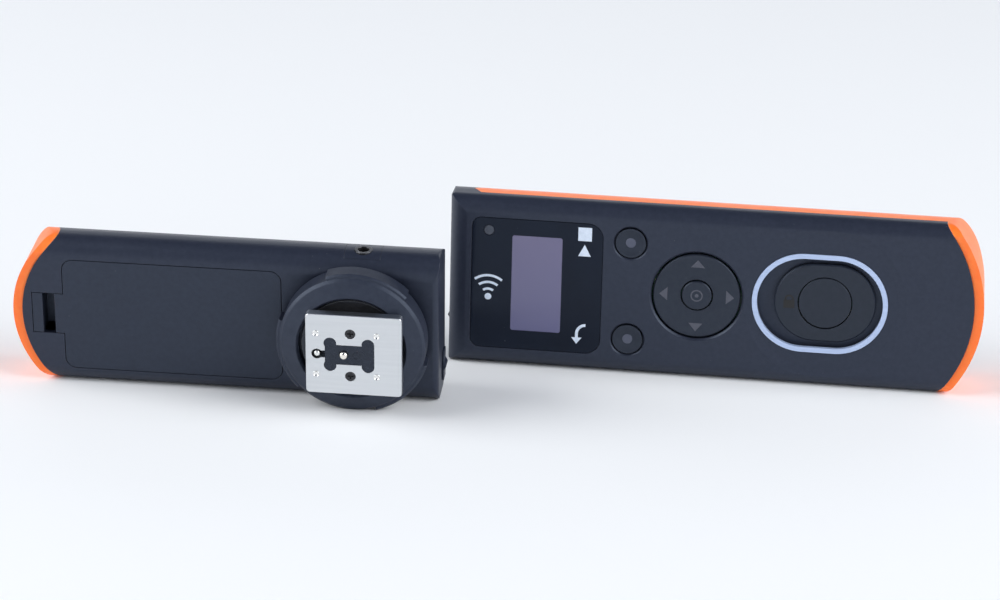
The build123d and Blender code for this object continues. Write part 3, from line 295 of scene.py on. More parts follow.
@dataclass(frozen=True)
class Finish:
    """What every finish has: a name, a main colour, a roughness and softened edges.

    Lengths are in millimetres.
    """

    name: str
    colour: Colour
    roughness: float = 0.45
    gloss_spread: float = 0.1
    edge_radius: float = 0.12

    def start(self, effects: Effects) -> tuple[Wiring, bpy.types.Node, bpy.types.Node, bpy.types.Node]:
        """Makes the material with a shader, softened edges and handling marks.

        Args:
            effects: The shared node groups.

        Returns:
            The wiring, the shader, the soft-edge group node and the handling group node.
        """
        material = bpy.data.materials.new(self.name)
        material.use_nodes = True
        wiring = Wiring(material.node_tree)
        shader = wiring.tree.nodes["Principled BSDF"]
        edge = wiring.node("ShaderNodeGroup", node_tree=effects.soft_edge)
        edge.inputs["Radius"].default_value = self.edge_radius * MM
        marks = wiring.node("ShaderNodeGroup", node_tree=effects.handling)
        marks.inputs["Roughness"].default_value = self.roughness
        marks.inputs["Spread"].default_value = self.gloss_spread
        wiring.feed(shader.inputs["Roughness"], marks.outputs["Roughness"])
        return wiring, shader, edge, marks

    def bump(
        self, wiring: Wiring, shader: bpy.types.Node, height: object, depth: float, normal: object
    ) -> None:
        """Joins a height to the shader's normal through a Bump node.

        Args:
            wiring: Wiring of the material.
            shader: The material's shader.
            height: Socket with the height, from 0 to 1.
            depth: Depth that a height of 1 stands for, in millimetres.
            normal: Socket with the normal that the bump starts from.
        """
        made = wiring.node("ShaderNodeBump", in_Distance=depth * MM, in_Height=height, in_Normal=normal)
        made.inputs["Strength"].default_value = 1.0
        wiring.feed(shader.inputs["Normal"], made.outputs[0])

    def build(self, effects: Effects) -> bpy.types.Material:
        """Builds the material."""
        raise NotImplementedError


@dataclass(frozen=True)
class MouldedPlastic(Finish):
    """Injection-moulded plastic with a mould grain and lighter edges: scuffed on most finishes, and on the
    washer a painted highlight.
    """

    tone: Colour = (0.03, 0.033, 0.042)
    # Edge colour and its strength: scuffing on most finishes, and on the washer a painted highlight.
    scuffed_and_highlit: Colour = (0.07, 0.075, 0.09)
    scuff_and_highlight_share: float = 0.25
    grain_pitch: float = 0.35
    grain_depth: float = 0.006
    specular: float = 0.55
    sheen: Colour = (0.7, 0.81, 1.0)
    glow_through: float = 0.0
    dust: Colour = (0.35, 0.35, 0.36)

    def build(self, effects: Effects) -> bpy.types.Material:
        """Builds the material from the grain, the lighter edges (scuffing, and on the washer a painted
        highlight) and the handling marks.
        """
        wiring, shader, edge, marks = self.start(effects)
        grain = wiring.node("ShaderNodeGroup", node_tree=effects.mould_grain)
        grain.inputs["Pitch"].default_value = self.grain_pitch * MM
        body = wiring.mix(grain.outputs["Tone"], self.colour, self.tone)
        # Edges take the lighter colour: scuffing on most finishes, and on the washer a painted highlight
        # standing in for light caught on its rim.
        scuffed_and_highlit = wiring.mix(wiring.math("MULTIPLY", edge.outputs["Edge"], self.scuff_and_highlight_share), body, self.scuffed_and_highlit)
        dusty = wiring.mix(marks.outputs["Speck"], scuffed_and_highlit, self.dust)
        wiring.feed(shader.inputs["Base Color"], dusty)
        self.bump(wiring, shader, grain.outputs["Height"], self.grain_depth, edge.outputs["Normal"])
        shader.inputs["Specular IOR Level"].default_value = self.specular
        shader.inputs["Specular Tint"].default_value = (*self.sheen, 1.0)
        shader.inputs["Subsurface Weight"].default_value = self.glow_through
        shader.inputs["Subsurface Scale"].default_value = 1.0 * MM
        return bpy.data.materials[self.name]


@dataclass(frozen=True)
class PlatedMetal(Finish):
    """Plated or blackened metal, brushed along X."""

    tone: Colour = (0.5, 0.5, 0.5)
    line_pitch: float = 0.12
    line_depth: float = 0.002
    metallic: float = 1.0
    dust: Colour = (0.5, 0.5, 0.5)

    def build(self, effects: Effects) -> bpy.types.Material:
        """Builds the material from the brushed lines and the handling marks."""
        wiring, shader, edge, marks = self.start(effects)
        lines = wiring.node("ShaderNodeGroup", node_tree=effects.brushed)
        lines.inputs["Pitch"].default_value = self.line_pitch * MM
        body = wiring.mix(lines.outputs["Streak"], self.colour, self.tone)
        wiring.feed(shader.inputs["Base Color"], wiring.mix(marks.outputs["Speck"], body, self.dust))
        shader.inputs["Metallic"].default_value = self.metallic
        self.bump(wiring, shader, lines.outputs["Height"], self.line_depth, edge.outputs["Normal"])
        return bpy.data.materials[self.name]


@dataclass(frozen=True)
class DisplayGlass(Finish):
    """The dark display behind its polished cover: a deep violet field with a faint ripple."""

    tone: Colour = (0.12, 0.12, 0.25)
    ripple_pitch: float = 0.17
    ripple_depth: float = 0.0005
    coat_roughness: float = 0.04

    def build(self, effects: Effects) -> bpy.types.Material:
        """Builds the material from a slow tint across the panel and the ripple."""
        wiring, shader, edge, _ = self.start(effects)
        place = wiring.node("ShaderNodeTexCoord")
        across = wiring.node("ShaderNodeSeparateXYZ", in_0=place.outputs["Generated"])
        tint = wiring.mix(wiring.ramp(across.outputs["Z"], 0.0, 1.0), self.tone, self.colour)
        wiring.feed(shader.inputs["Base Color"], tint)
        scale = 1.0 / (self.ripple_pitch * MM)
        ripple = wiring.node("ShaderNodeTexNoise", in_Vector=place.outputs["Object"], in_Scale=scale)
        self.bump(wiring, shader, ripple.outputs[0], self.ripple_depth, edge.outputs["Normal"])
        shader.inputs["Coat Weight"].default_value = 1.0
        shader.inputs["Coat Roughness"].default_value = self.coat_roughness
        return bpy.data.materials[self.name]


@dataclass(frozen=True)
class ClearPlastic(Finish):
    """Clear or smoky moulded plastic that lets light through."""

    transmission: float = 1.0
    flow_pitch: float = 0.8
    flow_depth: float = 0.002
    flow_shade: float = 0.85

    def build(self, effects: Effects) -> bpy.types.Material:
        """Builds the material with a plain transmission and a faint flow pattern."""
        wiring, shader, edge, _ = self.start(effects)
        grain = wiring.node("ShaderNodeGroup", node_tree=effects.mould_grain)
        grain.inputs["Pitch"].default_value = self.flow_pitch * MM
        shade = tuple(self.flow_shade * c for c in self.colour)
        wiring.feed(shader.inputs["Base Color"], wiring.mix(grain.outputs["Tone"], self.colour, shade))
        shader.inputs["Transmission Weight"].default_value = self.transmission
        self.bump(wiring, shader, grain.outputs["Height"], self.flow_depth, edge.outputs["Normal"])
        return bpy.data.materials[self.name]


@dataclass(frozen=True)
class SolderMask(Finish):
    """A circuit board: solder mask over copper tracks, with small plated pads."""

    track: Colour = (0.02, 0.2, 0.09)
    pad: Colour = (0.75, 0.62, 0.35)
    cells_per_metre: float = 420.0
    track_repeat: float = 0.11
    track_edge: tuple[float, float] = (0.045, 0.06)
    pad_edge: tuple[float, float] = (0.05, 0.07)
    pad_metallic: float = 0.9
    track_height: float = 0.02

    def build(self, effects: Effects) -> bpy.types.Material:
        """Builds the material from a track pattern and a scatter of pads."""
        wiring, shader, edge, _ = self.start(effects)
        place = wiring.node("ShaderNodeTexCoord").outputs["Object"]
        cells = wiring.node(
            "ShaderNodeTexVoronoi", distance="CHEBYCHEV", in_Vector=place, in_Scale=self.cells_per_metre
        )
        folded = wiring.math("PINGPONG", cells.outputs["Distance"], self.track_repeat)
        tracks = wiring.ramp(folded, *self.track_edge)
        pads = wiring.ramp(cells.outputs["Distance"], *self.pad_edge, 1.0, 0.0)
        mask = wiring.mix(tracks, self.colour, self.track)
        wiring.feed(shader.inputs["Base Color"], wiring.mix(pads, mask, self.pad))
        wiring.feed(shader.inputs["Metallic"], wiring.math("MULTIPLY", pads, self.pad_metallic))
        self.bump(wiring, shader, tracks, self.track_height, edge.outputs["Normal"])
        return bpy.data.materials[self.name]


@dataclass(frozen=True)
class CellJacket(Finish):
    """A battery cell: a printed jacket with a plain band at its plus end, and bare steel ends."""

    band: Colour = (0.55, 0.33, 0.08)
    steel: Colour = (0.72, 0.72, 0.7)
    plus: Towards = Towards.HIGH
    steel_share: float = 0.045
    base_share: float = 0.012
    band_share: float = 0.24
    fold_share: float = 0.008
    fold_depth: float = 0.08

    def build(self, effects: Effects) -> bpy.types.Material:
        """Builds the material from bands along the cell's length."""
        wiring, shader, edge, _ = self.start(effects)
        place = wiring.node("ShaderNodeTexCoord").outputs["Generated"]
        along = wiring.node("ShaderNodeSeparateXYZ", in_0=place).outputs["X"]
        if self.plus is Towards.LOW:
            along = wiring.math("SUBTRACT", 1.0, along)
        banded = wiring.math("GREATER_THAN", along, 1.0 - self.band_share)
        plus_end = wiring.math("GREATER_THAN", along, 1.0 - self.steel_share)
        ends = wiring.math("MAXIMUM", plus_end, wiring.math("LESS_THAN", along, self.base_share))
        jacket = wiring.mix(banded, self.colour, self.band)
        wiring.feed(shader.inputs["Base Color"], wiring.mix(ends, jacket, self.steel))
        wiring.feed(shader.inputs["Metallic"], ends)
        from_fold = wiring.math("ABSOLUTE", wiring.math("SUBTRACT", along, 1.0 - self.steel_share))
        fold = wiring.ramp(from_fold, 0.0, self.fold_share)
        self.bump(wiring, shader, fold, self.fold_depth, edge.outputs["Normal"])
        return bpy.data.materials[self.name]


@dataclass(frozen=True)
class PrintedInk(Finish):
    """Screen-printed ink, a little uneven in cover."""

    thin: Colour = (0.6, 0.68, 0.8)
    screen_pitch: float = 0.25
    screen_depth: float = 0.002

    def build(self, effects: Effects) -> bpy.types.Material:
        """Builds the material from two tones of ink and a faint screen pattern."""
        wiring, shader, edge, _ = self.start(effects)
        grain = wiring.node("ShaderNodeGroup", node_tree=effects.mould_grain)
        grain.inputs["Pitch"].default_value = self.screen_pitch * MM
        wiring.feed(shader.inputs["Base Color"], wiring.mix(grain.outputs["Tone"], self.colour, self.thin))
        self.bump(wiring, shader, grain.outputs["Height"], self.screen_depth, edge.outputs["Normal"])
        return bpy.data.materials[self.name]


class Palette:
    """Every finish of the set, built once and handed out by name."""

    FINISHES: tuple[Finish, ...] = (
        MouldedPlastic("shell_black", (0.012, 0.015, 0.027), 0.42, edge_radius=0.18, tone=(0.017, 0.02, 0.035)),
        MouldedPlastic("door_black", (0.012, 0.015, 0.026), 0.45, edge_radius=0.15, tone=(0.016, 0.020, 0.034)),
        MouldedPlastic(
            "key_black", (0.008, 0.010, 0.018), 0.32, edge_radius=0.15,
            tone=(0.012, 0.015, 0.023), grain_depth=0.003,
        ),
        MouldedPlastic("slider_black", (0.008, 0.01, 0.015), 0.42, tone=(0.011, 0.013, 0.02), grain_depth=0.003),
        MouldedPlastic(
            "wheel_black", (0.012, 0.015, 0.027), 0.48, edge_radius=0.25,
            tone=(0.019, 0.023, 0.038), scuff_and_highlight_share=0.4, grain_pitch=0.5, grain_depth=0.012,
        ),
        MouldedPlastic(
            "insert_black", (0.008, 0.009, 0.014), 0.25, edge_radius=0.1,
            tone=(0.012, 0.014, 0.022), grain_depth=0.001,
        ),
        MouldedPlastic("foot_black", (0.012, 0.012, 0.015), 0.4, edge_radius=0.1, tone=(0.016, 0.016, 0.02)),
        MouldedPlastic(
            "band_orange", (1.0, 0.17, 0.014), 0.42, edge_radius=0.22, tone=(1.0, 0.21, 0.022),
            scuffed_and_highlit=(1.0, 0.42, 0.18), scuff_and_highlight_share=0.5, grain_pitch=0.5, grain_depth=0.003, glow_through=0.15,
        ),
        MouldedPlastic(
            "window_black", (0.005, 0.007, 0.014), 0.08, gloss_spread=0.03, tone=(0.006, 0.009, 0.018),
            scuff_and_highlight_share=0.1, grain_pitch=3.0, grain_depth=0.0008, specular=0.25,
        ),
        MouldedPlastic("rubber_black", (0.02, 0.02, 0.02), 0.75, tone=(0.03, 0.03, 0.03), specular=0.3),
        MouldedPlastic("component_black", (0.02, 0.02, 0.022), 0.5, tone=(0.035, 0.035, 0.037)),
        MouldedPlastic("tray_grey", (0.03, 0.032, 0.036), 0.5, tone=(0.045, 0.047, 0.052)),
        PlatedMetal(
            "ring_silver_blue", (0.42, 0.52, 0.74), 0.42, edge_radius=0.1,
            tone=(0.48, 0.58, 0.8), line_depth=0.001, metallic=0.25,
        ),
        PlatedMetal("plate_nickel", (0.70, 0.72, 0.74), 0.3, tone=(0.66, 0.68, 0.7), line_depth=0.0006),
        PlatedMetal(
            "rivet_nickel", (0.9, 0.9, 0.88), 0.18, gloss_spread=0.05,
            tone=(0.8, 0.8, 0.78), line_depth=0.0005,
        ),
        PlatedMetal(
            "contact_nickel", (0.92, 0.88, 0.8), 0.14, gloss_spread=0.05,
            tone=(0.85, 0.8, 0.72), line_depth=0.0005,
        ),
        PlatedMetal("screw_black", (0.03, 0.03, 0.033), 0.35, tone=(0.05, 0.05, 0.055), metallic=0.6),
        # The washer's pale edge colour at full strength is a painted highlight: the thin bright arc of light on
        # its rim.
        MouldedPlastic(
            "washer_black", (0.02, 0.02, 0.022), 0.25, edge_radius=0.15,
            tone=(0.03, 0.03, 0.032), scuffed_and_highlit=(0.5, 0.5, 0.52), scuff_and_highlight_share=1.0,
        ),
        PlatedMetal("can_tin", (0.7, 0.7, 0.7), 0.3, tone=(0.6, 0.6, 0.6)),
        PlatedMetal(
            "jack_ring", (0.12, 0.12, 0.13), 0.28, edge_radius=0.15,
            tone=(0.2, 0.2, 0.21), metallic=0.9,
        ),
        DisplayGlass("display_violet", (0.11, 0.098, 0.2), 0.2, gloss_spread=0.02, tone=(0.095, 0.093, 0.21)),
        MouldedPlastic(
            "light_pipe_smoke", (0.05, 0.055, 0.07), 0.3, tone=(0.06, 0.065, 0.08), grain_depth=0.001
        ),
        ClearPlastic("led_clear", (0.75, 0.8, 0.85), 0.1, transmission=0.6),
        SolderMask("board_green", (0.008, 0.09, 0.04), 0.3),
        CellJacket("cell_plus_high", (0.02, 0.022, 0.026), 0.3, plus=Towards.HIGH),
        CellJacket("cell_plus_low", (0.02, 0.022, 0.026), 0.3, plus=Towards.LOW),
        PrintedInk("ink_white", (0.72, 0.8, 0.92), 0.45),
        PrintedInk("ink_slate", (0.07, 0.075, 0.1), 0.5, thin=(0.06, 0.065, 0.09)),
        PrintedInk("ink_dot", (0.075, 0.085, 0.125), 0.4, thin=(0.065, 0.075, 0.115)),
        PrintedInk("ink_dark", (0.004, 0.004, 0.005), 0.5, thin=(0.006, 0.006, 0.007)),
    )

    def __init__(self, effects: Effects) -> None:
        """Builds every finish."""
        self.materials = {finish.name: finish.build(effects) for finish in self.FINISHES}

    def dress(self, piece: bpy.types.Object, finish: str) -> None:
        """Puts one finish on a piece, in place of any it had."""
        piece.data.materials.clear()
        piece.data.materials.append(self.materials[finish])


# ------------------------------------------------------------------ outlines of the printed marks


def circle(at: Point, radius: float, steps: int = 36) -> list[Point]:
    """Gives the points of a circle about a point."""
    angles = turns(0.0, 360.0, steps, closed=True)
    return [(at[0] + radius * math.cos(a), at[1] + radius * math.sin(a)) for a in angles]


def turns(start: float, end: float, steps: int, closed: bool = False) -> list[float]:
    """Gives evenly spaced angles.

    Args:
        start: First angle, in degrees.
        end: Last angle, in degrees.
        steps: How many angles to give.
        closed: Whether the last angle is left out, because it is the first one again.

    Returns:
        The angles in radians.
    """
    count = steps if closed else steps - 1
    return [math.radians(start + (end - start) * i / count) for i in range(steps)]


def arc_band(at: Point, radius: float, width: float, start: float, end: float, steps: int = 24) -> list[Point]:
    """Gives the outline of a bent bar.

    Args:
        at: Centre of the bend.
        radius: Radius of its middle line.
        width: Width of the bar.
        start: First angle, in degrees.
        end: Last angle, in degrees.
        steps: Points along each side.

    Returns:
        The outline's points in order.
    """
    angles = turns(start, end, steps)
    sides = ((radius + width / 2, angles), (radius - width / 2, angles[::-1]))
    return [(at[0] + r * math.cos(a), at[1] + r * math.sin(a)) for r, side in sides for a in side]


def flat_ring(at: Point, outer: float, inner: float) -> list[list[Point]]:
    """Gives a flat ring as two half bands, so that each outline is simple."""
    radius, width = (outer + inner) / 2, outer - inner
    return [arc_band(at, radius, width, start, start + 180.0, HALF_RING_STEPS) for start in (0.0, 180.0)]


def bar(start: Point, size: Point) -> list[Point]:
    """Gives the outline of an upright rectangle from its lower left corner."""
    x, z = start
    return [(x, z), (x + size[0], z), (x + size[0], z + size[1]), (x, z + size[1])]


def pointer(at: Point, base: float, height: float, facing: float) -> list[Point]:
    """Gives a triangle.

    Args:
        at: The triangle's middle.
        base: Length of its base.
        height: Distance from its base to its tip.
        facing: Angle that the tip points at, in degrees from +X.

    Returns:
        The triangle's corners.
    """
    turn = Matrix.Rotation(math.radians(facing), 2)
    corners = (Vector((height / 2, 0.0)), Vector((-height / 2, base / 2)), Vector((-height / 2, -base / 2)))
    return [tuple(turn @ corner + Vector(at)) for corner in corners]


@dataclass
class FaceFrame:
    """The transmitter's face: X from the flat end and Z from the middle line, drawn in millimetres.

    Attributes:
        flat_end: World X of the flat end, in metres.
        middle: World Z of the middle line, in metres.
    """

    flat_end: float
    middle: float

    def point(self, at: Point) -> Point:
        """Gives a drawn point's world X and Z in metres."""
        return self.flat_end + at[0] * MM, self.middle + at[1] * MM


class InkMaker:
    """Lays thin printed or inlaid marks on the front of a CAD node, following its surface."""

    LIFT = 0.02 * MM
    SKIRT = 0.08 * MM
    CUTS = 2
    START_Y = -0.2

    def __init__(self, face: FaceFrame, palette: Palette) -> None:
        """Keeps the face's own frame and the finishes."""
        self.face = face
        self.palette = palette

    def surface(self, host: str) -> BVHTree:
        """Gives a search tree of a CAD node's mesh."""
        mesh = bpy.data.objects[host].data
        corners = [vertex.co.copy() for vertex in mesh.vertices]
        return BVHTree.FromPolygons(corners, [tuple(face.vertices) for face in mesh.polygons])

    def depth(self, tree: BVHTree, x: float, z: float) -> float:
        """Gives the world Y where a line along +Y first meets the surface."""
        hit = tree.ray_cast(Vector((x, self.START_Y, z)), Vector((0.0, 1.0, 0.0)))[0]
        if hit is None:
            raise ValueError(f"no surface at x {x:.5f}, z {z:.5f}")
        return hit.y

    def lay(
        self, name: str, outlines: list[list[Point]], host: str, body: str, finish: str
    ) -> bpy.types.Object:
        """Builds a mark from its outlines.

        Args:
            name: The new piece's name.
            outlines: Closed outlines in the face's frame, in millimetres.
            host: CAD node that the mark lies on.
            body: CAD body that the mark rides on.
            finish: Name of its finish.

        Returns:
            The new piece.
        """
        tree = self.surface(host)
        made = bmesh.new()
        for outline in outlines:
            points = [self.face.point(at) for at in outline]
            made.faces.new([made.verts.new((x, 0.0, z)) for x, z in points])
        bmesh.ops.triangulate(made, faces=made.faces[:])
        bmesh.ops.subdivide_edges(made, edges=made.edges[:], cuts=self.CUTS, use_grid_fill=True)
        for vertex in made.verts:
            vertex.co.y = self.depth(tree, vertex.co.x, vertex.co.z) - self.LIFT
        thick = bmesh.ops.extrude_face_region(made, geom=made.faces[:])["geom"]
        for vertex in (part for part in thick if isinstance(part, bmesh.types.BMVert)):
            vertex.co.y += self.SKIRT
        bmesh.ops.recalc_face_normals(made, faces=made.faces)
        mesh = bpy.data.meshes.new(name)
        made.to_mesh(mesh)
        made.free()
        piece = bpy.data.objects.new(name, mesh)
        bpy.context.scene.collection.objects.link(piece)
        self.palette.dress(piece, finish)
        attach(piece, body)
        LOG.info("built %s on %s", name, host)
        return piece


# ------------------------------------------------------------------ the two units


@dataclass
class SubAssembly:
    """A group of CAD nodes that are dressed together."""

    palette: Palette

    def dress_nodes(self, table: dict[str, tuple[str, ...]]) -> None:
        """Puts each finish on its CAD nodes.

        Args:
            table: Finish names, each with the CAD nodes that take it.
        """
        for finish, nodes in table.items():
            for node in nodes:
                self.palette.dress(bpy.data.objects[node], finish)
                LOG.info("dressed %s in %s", node, finish)


@dataclass
class Transmitter(SubAssembly):
    """The hand transmitter, with its printed marks. Sizes and places are in millimetres on its face."""

    icon_x: float = 30.0
    square: Point = (3.0, 3.1)
    square_z: float = 12.5
    play: Point = (2.8, 2.7)
    play_z: float = 8.8
    arrow_at: Point = (28.8, -10.6)
    arrow_bend: float = 2.0
    arrow_stroke: float = 0.65
    arrow_stem: Point = (-0.8, 0.1)
    arrow_head: Point = (2.3, 1.5)
    wave_at: Point = (9.0, -3.2)
    wave_dot: float = 0.75
    wave_pitch: float = 1.55
    wave_first: float = 1.15
    wave_stroke: float = 0.55
    wave_span: tuple[float, float] = (52.0, 128.0)
    key_at: Point = (40.0, 11.1)
    key_dot: float = 1.1
    pad_x: float = 54.8
    pad_reach: float = 7.3
    pad_mark: Point = (3.1, 1.8)
    set_dot: float = 0.42
    set_ring: Point = (1.35, 1.05)
    lock_x: float = 74.9
    lock_case: Point = (2.4, 1.9)
    lock_foot: float = -1.6
    lock_bow: float = 0.8
    lock_bow_z: float = 0.5
    lock_stroke: float = 0.4
    lock_leg: float = 0.3
    lock_leg_z: float = 0.25

    def build(self) -> None:
        """Dresses the unit's CAD nodes, then prints its marks."""
        self.dress_nodes({
            "shell_black": ("tx_front_shell", "tx_rear_shell", "tx_power_knob"),
            "door_black": ("tx_battery_door",),
            "band_orange": ("tx_band",),
            "window_black": ("tx_window",),
            "display_violet": ("tx_display_pane", "tx_display"),
            "light_pipe_smoke": ("tx_light_pipe",),
            "led_clear": ("tx_led",),
            "key_black": ("tx_key_play", "tx_key_back", "tx_dpad_ring", "tx_set_key"),
            "slider_black": ("tx_hold_slider", "tx_release_button"),
            "rubber_black": ("tx_dpad_rubber",),
            "ring_silver_blue": ("tx_release_ring",),
            "contact_nickel": ("tx_release_leaves", "tx_contact_plates"),
            "can_tin": ("tx_tact_switches", "tx_radio_module", "tx_contact_springs"),
            "component_black": ("tx_power_switch_body",),
            "board_green": ("tx_board",),
            "rivet_nickel": ("tx_antenna",),
            "tray_grey": ("tx_cell_tray",),
            "cell_plus_high": ("tx_cell_1",),
            "cell_plus_low": ("tx_cell_2",),
            "screw_black": ("tx_screws",),
        })
        low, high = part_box("tx_front_shell")
        ink = InkMaker(FaceFrame(low.x, (low.z + high.z) / 2), self.palette)
        self.print_window(ink)
        self.print_keys(ink)
        self.print_slider(ink)

    def print_window(self, ink: InkMaker) -> None:
        """Prints the square, the triangle, the return arrow and the wave mark on the window."""
        x = self.icon_x
        square = bar((x - self.square[0] / 2, self.square_z - self.square[1] / 2), self.square)
        play = pointer((x, self.play_z), *self.play, 90.0)
        marks = {
            "window_square": [square],
            "window_triangle": [play],
            "window_return_arrow": self.return_arrow(),
            "window_wave_mark": self.wave_mark(),
        }
        for name, outlines in marks.items():
            ink.lay(name, outlines, "tx_window", "transmitter", "ink_white")

    def return_arrow(self) -> list[list[Point]]:
        """Gives an arrow that starts at the right, bends down and ends in a head."""
        (x, z), (low, high), stroke = self.arrow_at, self.arrow_stem, self.arrow_stroke
        return [
            arc_band((x + self.arrow_bend, z + high), self.arrow_bend, stroke, 92.0, 180.0),
            bar((x - stroke / 2, z + low), (stroke, high - low)),
            pointer((x, z + low - self.arrow_head[1] / 2), *self.arrow_head, -90.0),
        ]

    def wave_mark(self) -> list[list[Point]]:
        """Gives a dot with three arcs above it."""
        radii = [self.wave_pitch * (i + self.wave_first) for i in range(3)]
        arcs = [arc_band(self.wave_at, radius, self.wave_stroke, *self.wave_span) for radius in radii]
        return [circle(self.wave_at, self.wave_dot), *arcs]

    def print_keys(self, ink: InkMaker) -> None:
        """Prints the keys' dots, the direction ring's four pointers and the set key's mark."""
        x, z = self.key_at
        ink.lay("play_key_dot", [circle((x, z), self.key_dot)], "tx_key_play", "play_key", "ink_dot")
        ink.lay("back_key_dot", [circle((x, -z), self.key_dot)], "tx_key_back", "back_key", "ink_dot")
        reach = self.pad_reach
        pointers = [
            pointer((self.pad_x + reach * math.cos(a), reach * math.sin(a)), *self.pad_mark, math.degrees(a))
            for a in turns(0.0, 360.0, 4, closed=True)
        ]
        ink.lay("direction_pointers", pointers, "tx_dpad_ring", "direction_ring", "ink_slate")
        middle = (self.pad_x, 0.0)
        mark = [circle(middle, self.set_dot), *flat_ring(middle, *self.set_ring)]
        ink.lay("set_key_mark", mark, "tx_set_key", "set_key", "ink_slate")

    def print_slider(self, ink: InkMaker) -> None:
        """Prints a plain padlock on the hold slider."""
        x, bow, stroke = self.lock_x, self.lock_bow, self.lock_stroke
        case = bar((x - self.lock_case[0] / 2, self.lock_foot), self.lock_case)
        shackle = arc_band((x, self.lock_bow_z), bow, stroke, 0.0, 180.0)
        legs = [bar((x + side - stroke / 2, self.lock_leg_z), (stroke, self.lock_leg)) for side in (-bow, bow)]
        ink.lay("hold_padlock", [case, shackle, *legs], "tx_hold_slider", "hold_slider", "ink_dark")


@dataclass
class Receiver(SubAssembly):
    """The receiver: battery door, cable socket, lock wheel and shoe foot."""

    def build(self) -> None:
        """Dresses the unit's CAD nodes."""
        self.dress_nodes({
            "shell_black": ("rx_front_shell", "rx_rear_shell", "rx_power_knob", "rx_jack_panel"),
            "door_black": ("rx_battery_door",),
            "band_orange": ("rx_band",),
            "wheel_black": ("rx_lock_wheel",),
            "foot_black": ("rx_foot_base",),
            "insert_black": ("rx_foot_insert",),
            "plate_nickel": ("rx_foot_plate",),
            "rivet_nickel": ("rx_foot_rivets", "rx_lock_pin", "rx_antenna"),
            "contact_nickel": ("rx_centre_contact", "rx_contact_plates"),
            "screw_black": ("rx_foot_screws", "rx_screws"),
            "washer_black": ("rx_pressure_washer",),
            "jack_ring": ("rx_jack",),
            "key_black": ("rx_pair_key",),
            "light_pipe_smoke": ("rx_light_pipe",),
            "led_clear": ("rx_led",),
            "can_tin": ("rx_tact_switch", "rx_radio_module", "rx_contact_springs"),
            "component_black": ("rx_power_switch_body",),
            "board_green": ("rx_board",),
            "tray_grey": ("rx_cell_tray",),
            "cell_plus_high": ("rx_cell_1",),
            "cell_plus_low": ("rx_cell_2",),
        })


# ------------------------------------------------------------------ studio


@dataclass(frozen=True)
class Softbox:
    """A rectangular soft light aimed at the set. Lengths are in metres."""

    name: str
    at: tuple[float, float, float]
    size: Point
    brightness: float
    colour: Colour = (0.96, 0.98, 1.0)

    def build(self, target: Vector) -> bpy.types.Object:
        """Makes the light; its power follows from its brightness and its area."""
        lamp = bpy.data.lights.new(self.name, "AREA")
        lamp.shape, lamp.size, lamp.size_y = "RECTANGLE", *self.size
        lamp.color = self.colour
        lamp.energy = self.brightness * math.pi * self.size[0] * self.size[1]
        light = bpy.data.objects.new(self.name, lamp)
        light.location = self.at
        light.rotation_mode = "QUATERNION"
        light.rotation_quaternion = (target - light.location).to_track_quat("-Z", "Y")
        bpy.context.scene.collection.objects.link(light)
        return light


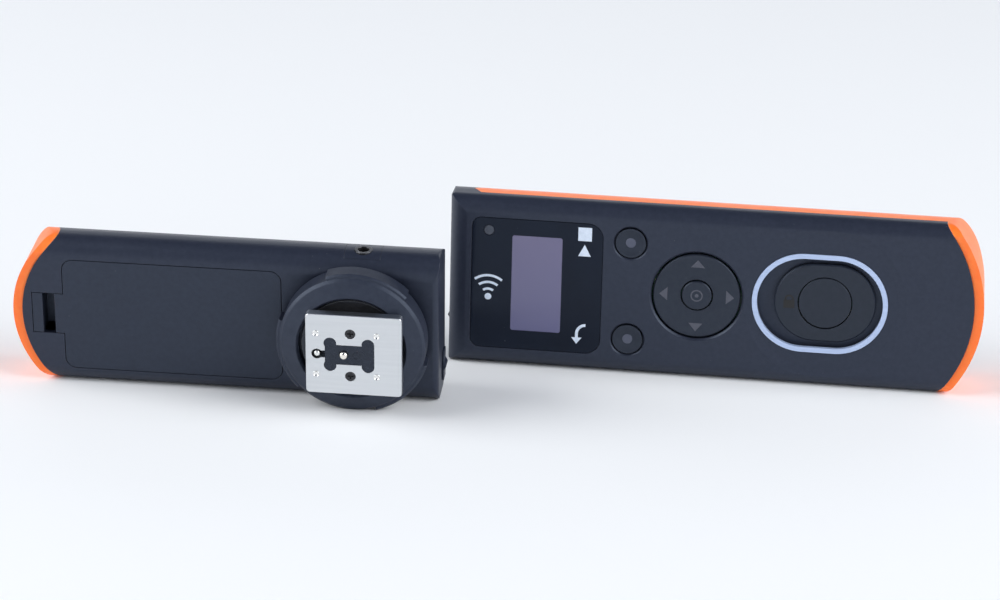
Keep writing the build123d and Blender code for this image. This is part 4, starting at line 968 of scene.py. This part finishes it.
@dataclass
class Studio:
    """The pale floor, the soft lights and the camera. Lengths are in metres, angles in degrees."""

    azimuth: float = 7.11
    elevation: float = 19.42
    roll: float = 1.45
    distance: float = 0.7685
    lens: float = 125.9
    aim_from_corner: tuple[float, float, float] = (0.01167, 0.0002, 0.01529)
    floor_reach: float = 3.0
    floor_colour: Colour = (0.92, 0.92, 0.92)
    floor_shade: float = 0.98
    floor_mottle: float = 4.0
    floor_roughness: float = 0.9
    floor_specular: float = 0.1
    room: Colour = (0.12, 0.14, 0.18)
    haze: Colour = (1.12, 1.14, 1.2)
    haze_top: float = 0.5
    clip: tuple[float, float] = (0.05, 20.0)

    def build(self) -> None:
        """Builds the floor, the room, the lights and the camera."""
        self.build_floor()
        self.build_room()
        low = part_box("tx_front_shell")[0]
        target = Vector((low.x, low.y, 0.0)) + Vector(self.aim_from_corner)
        boxes = (
            Softbox("left_wall", (-1.1, -0.3, 0.72), (1.1, 1.1), 4.4),
            Softbox("right_wall", (1.1, -0.3, 0.72), (1.1, 1.1), 4.4),
            Softbox("back_wall", (0.0, 1.3, 0.45), (2.2, 0.8), 0.7),
        )
        for box in boxes:
            box.build(target)
        self.build_camera(target)

    def build_floor(self) -> None:
        """Lays the pale floor with a faint mottle."""
        made = bmesh.new()
        bmesh.ops.create_grid(made, x_segments=24, y_segments=24, size=self.floor_reach)
        mesh = bpy.data.meshes.new("studio_floor")
        made.to_mesh(mesh)
        made.free()
        floor = bpy.data.objects.new("studio_floor", mesh)
        bpy.context.scene.collection.objects.link(floor)
        material = bpy.data.materials.new("floor_paper")
        material.use_nodes = True
        wiring = Wiring(material.node_tree)
        shader = wiring.tree.nodes["Principled BSDF"]
        mottle = wiring.node("ShaderNodeTexNoise", in_Scale=self.floor_mottle, in_Detail=2.0).outputs[0]
        shade = tuple(self.floor_shade * c for c in self.floor_colour)
        wiring.feed(shader.inputs["Base Color"], wiring.mix(mottle, self.floor_colour, shade))
        shader.inputs["Roughness"].default_value = self.floor_roughness
        shader.inputs["Specular IOR Level"].default_value = self.floor_specular
        mesh.materials.append(material)

    def build_room(self) -> None:
        """Fills the room with soft light, pale near the horizon and dim overhead."""
        world = bpy.data.worlds.new("studio_room")
        world.use_nodes = True
        wiring = Wiring(world.node_tree)
        way = wiring.node("ShaderNodeSeparateXYZ", in_0=wiring.node("ShaderNodeTexCoord").outputs["Generated"])
        share = wiring.ramp(way.outputs["Z"], 0.0, self.haze_top)
        wiring.feed(wiring.tree.nodes["Background"].inputs[0], wiring.mix(share, self.haze, self.room))
        bpy.context.scene.world = world
        bpy.context.scene.view_settings.view_transform = "Standard"

    def build_camera(self, target: Vector) -> None:
        """Places the camera round the aim point, level but for a small roll."""
        turn, rise = math.radians(self.azimuth), math.radians(self.elevation)
        back = Vector((math.sin(turn) * math.cos(rise), -math.cos(turn) * math.cos(rise), math.sin(rise)))
        lens = bpy.data.cameras.new("studio_camera")
        lens.lens = self.lens
        lens.clip_start, lens.clip_end = self.clip
        camera = bpy.data.objects.new("studio_camera", lens)
        camera.location = target + back * self.distance
        camera.rotation_mode = "QUATERNION"
        level = (-back).to_track_quat("-Z", "Y")
        camera.rotation_quaternion = level @ Matrix.Rotation(math.radians(self.roll), 3, "Z").to_quaternion()
        bpy.context.scene.collection.objects.link(camera)
        bpy.context.scene.camera = camera


def main() -> None:
    """Loads the frame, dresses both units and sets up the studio."""
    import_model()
    palette = Palette(Effects())
    Transmitter(palette).build()
    Receiver(palette).build()
    Studio().build()


if __name__ == "__main__":
    logging.basicConfig(level=logging.INFO, format="%(name)s: %(message)s")
    main()
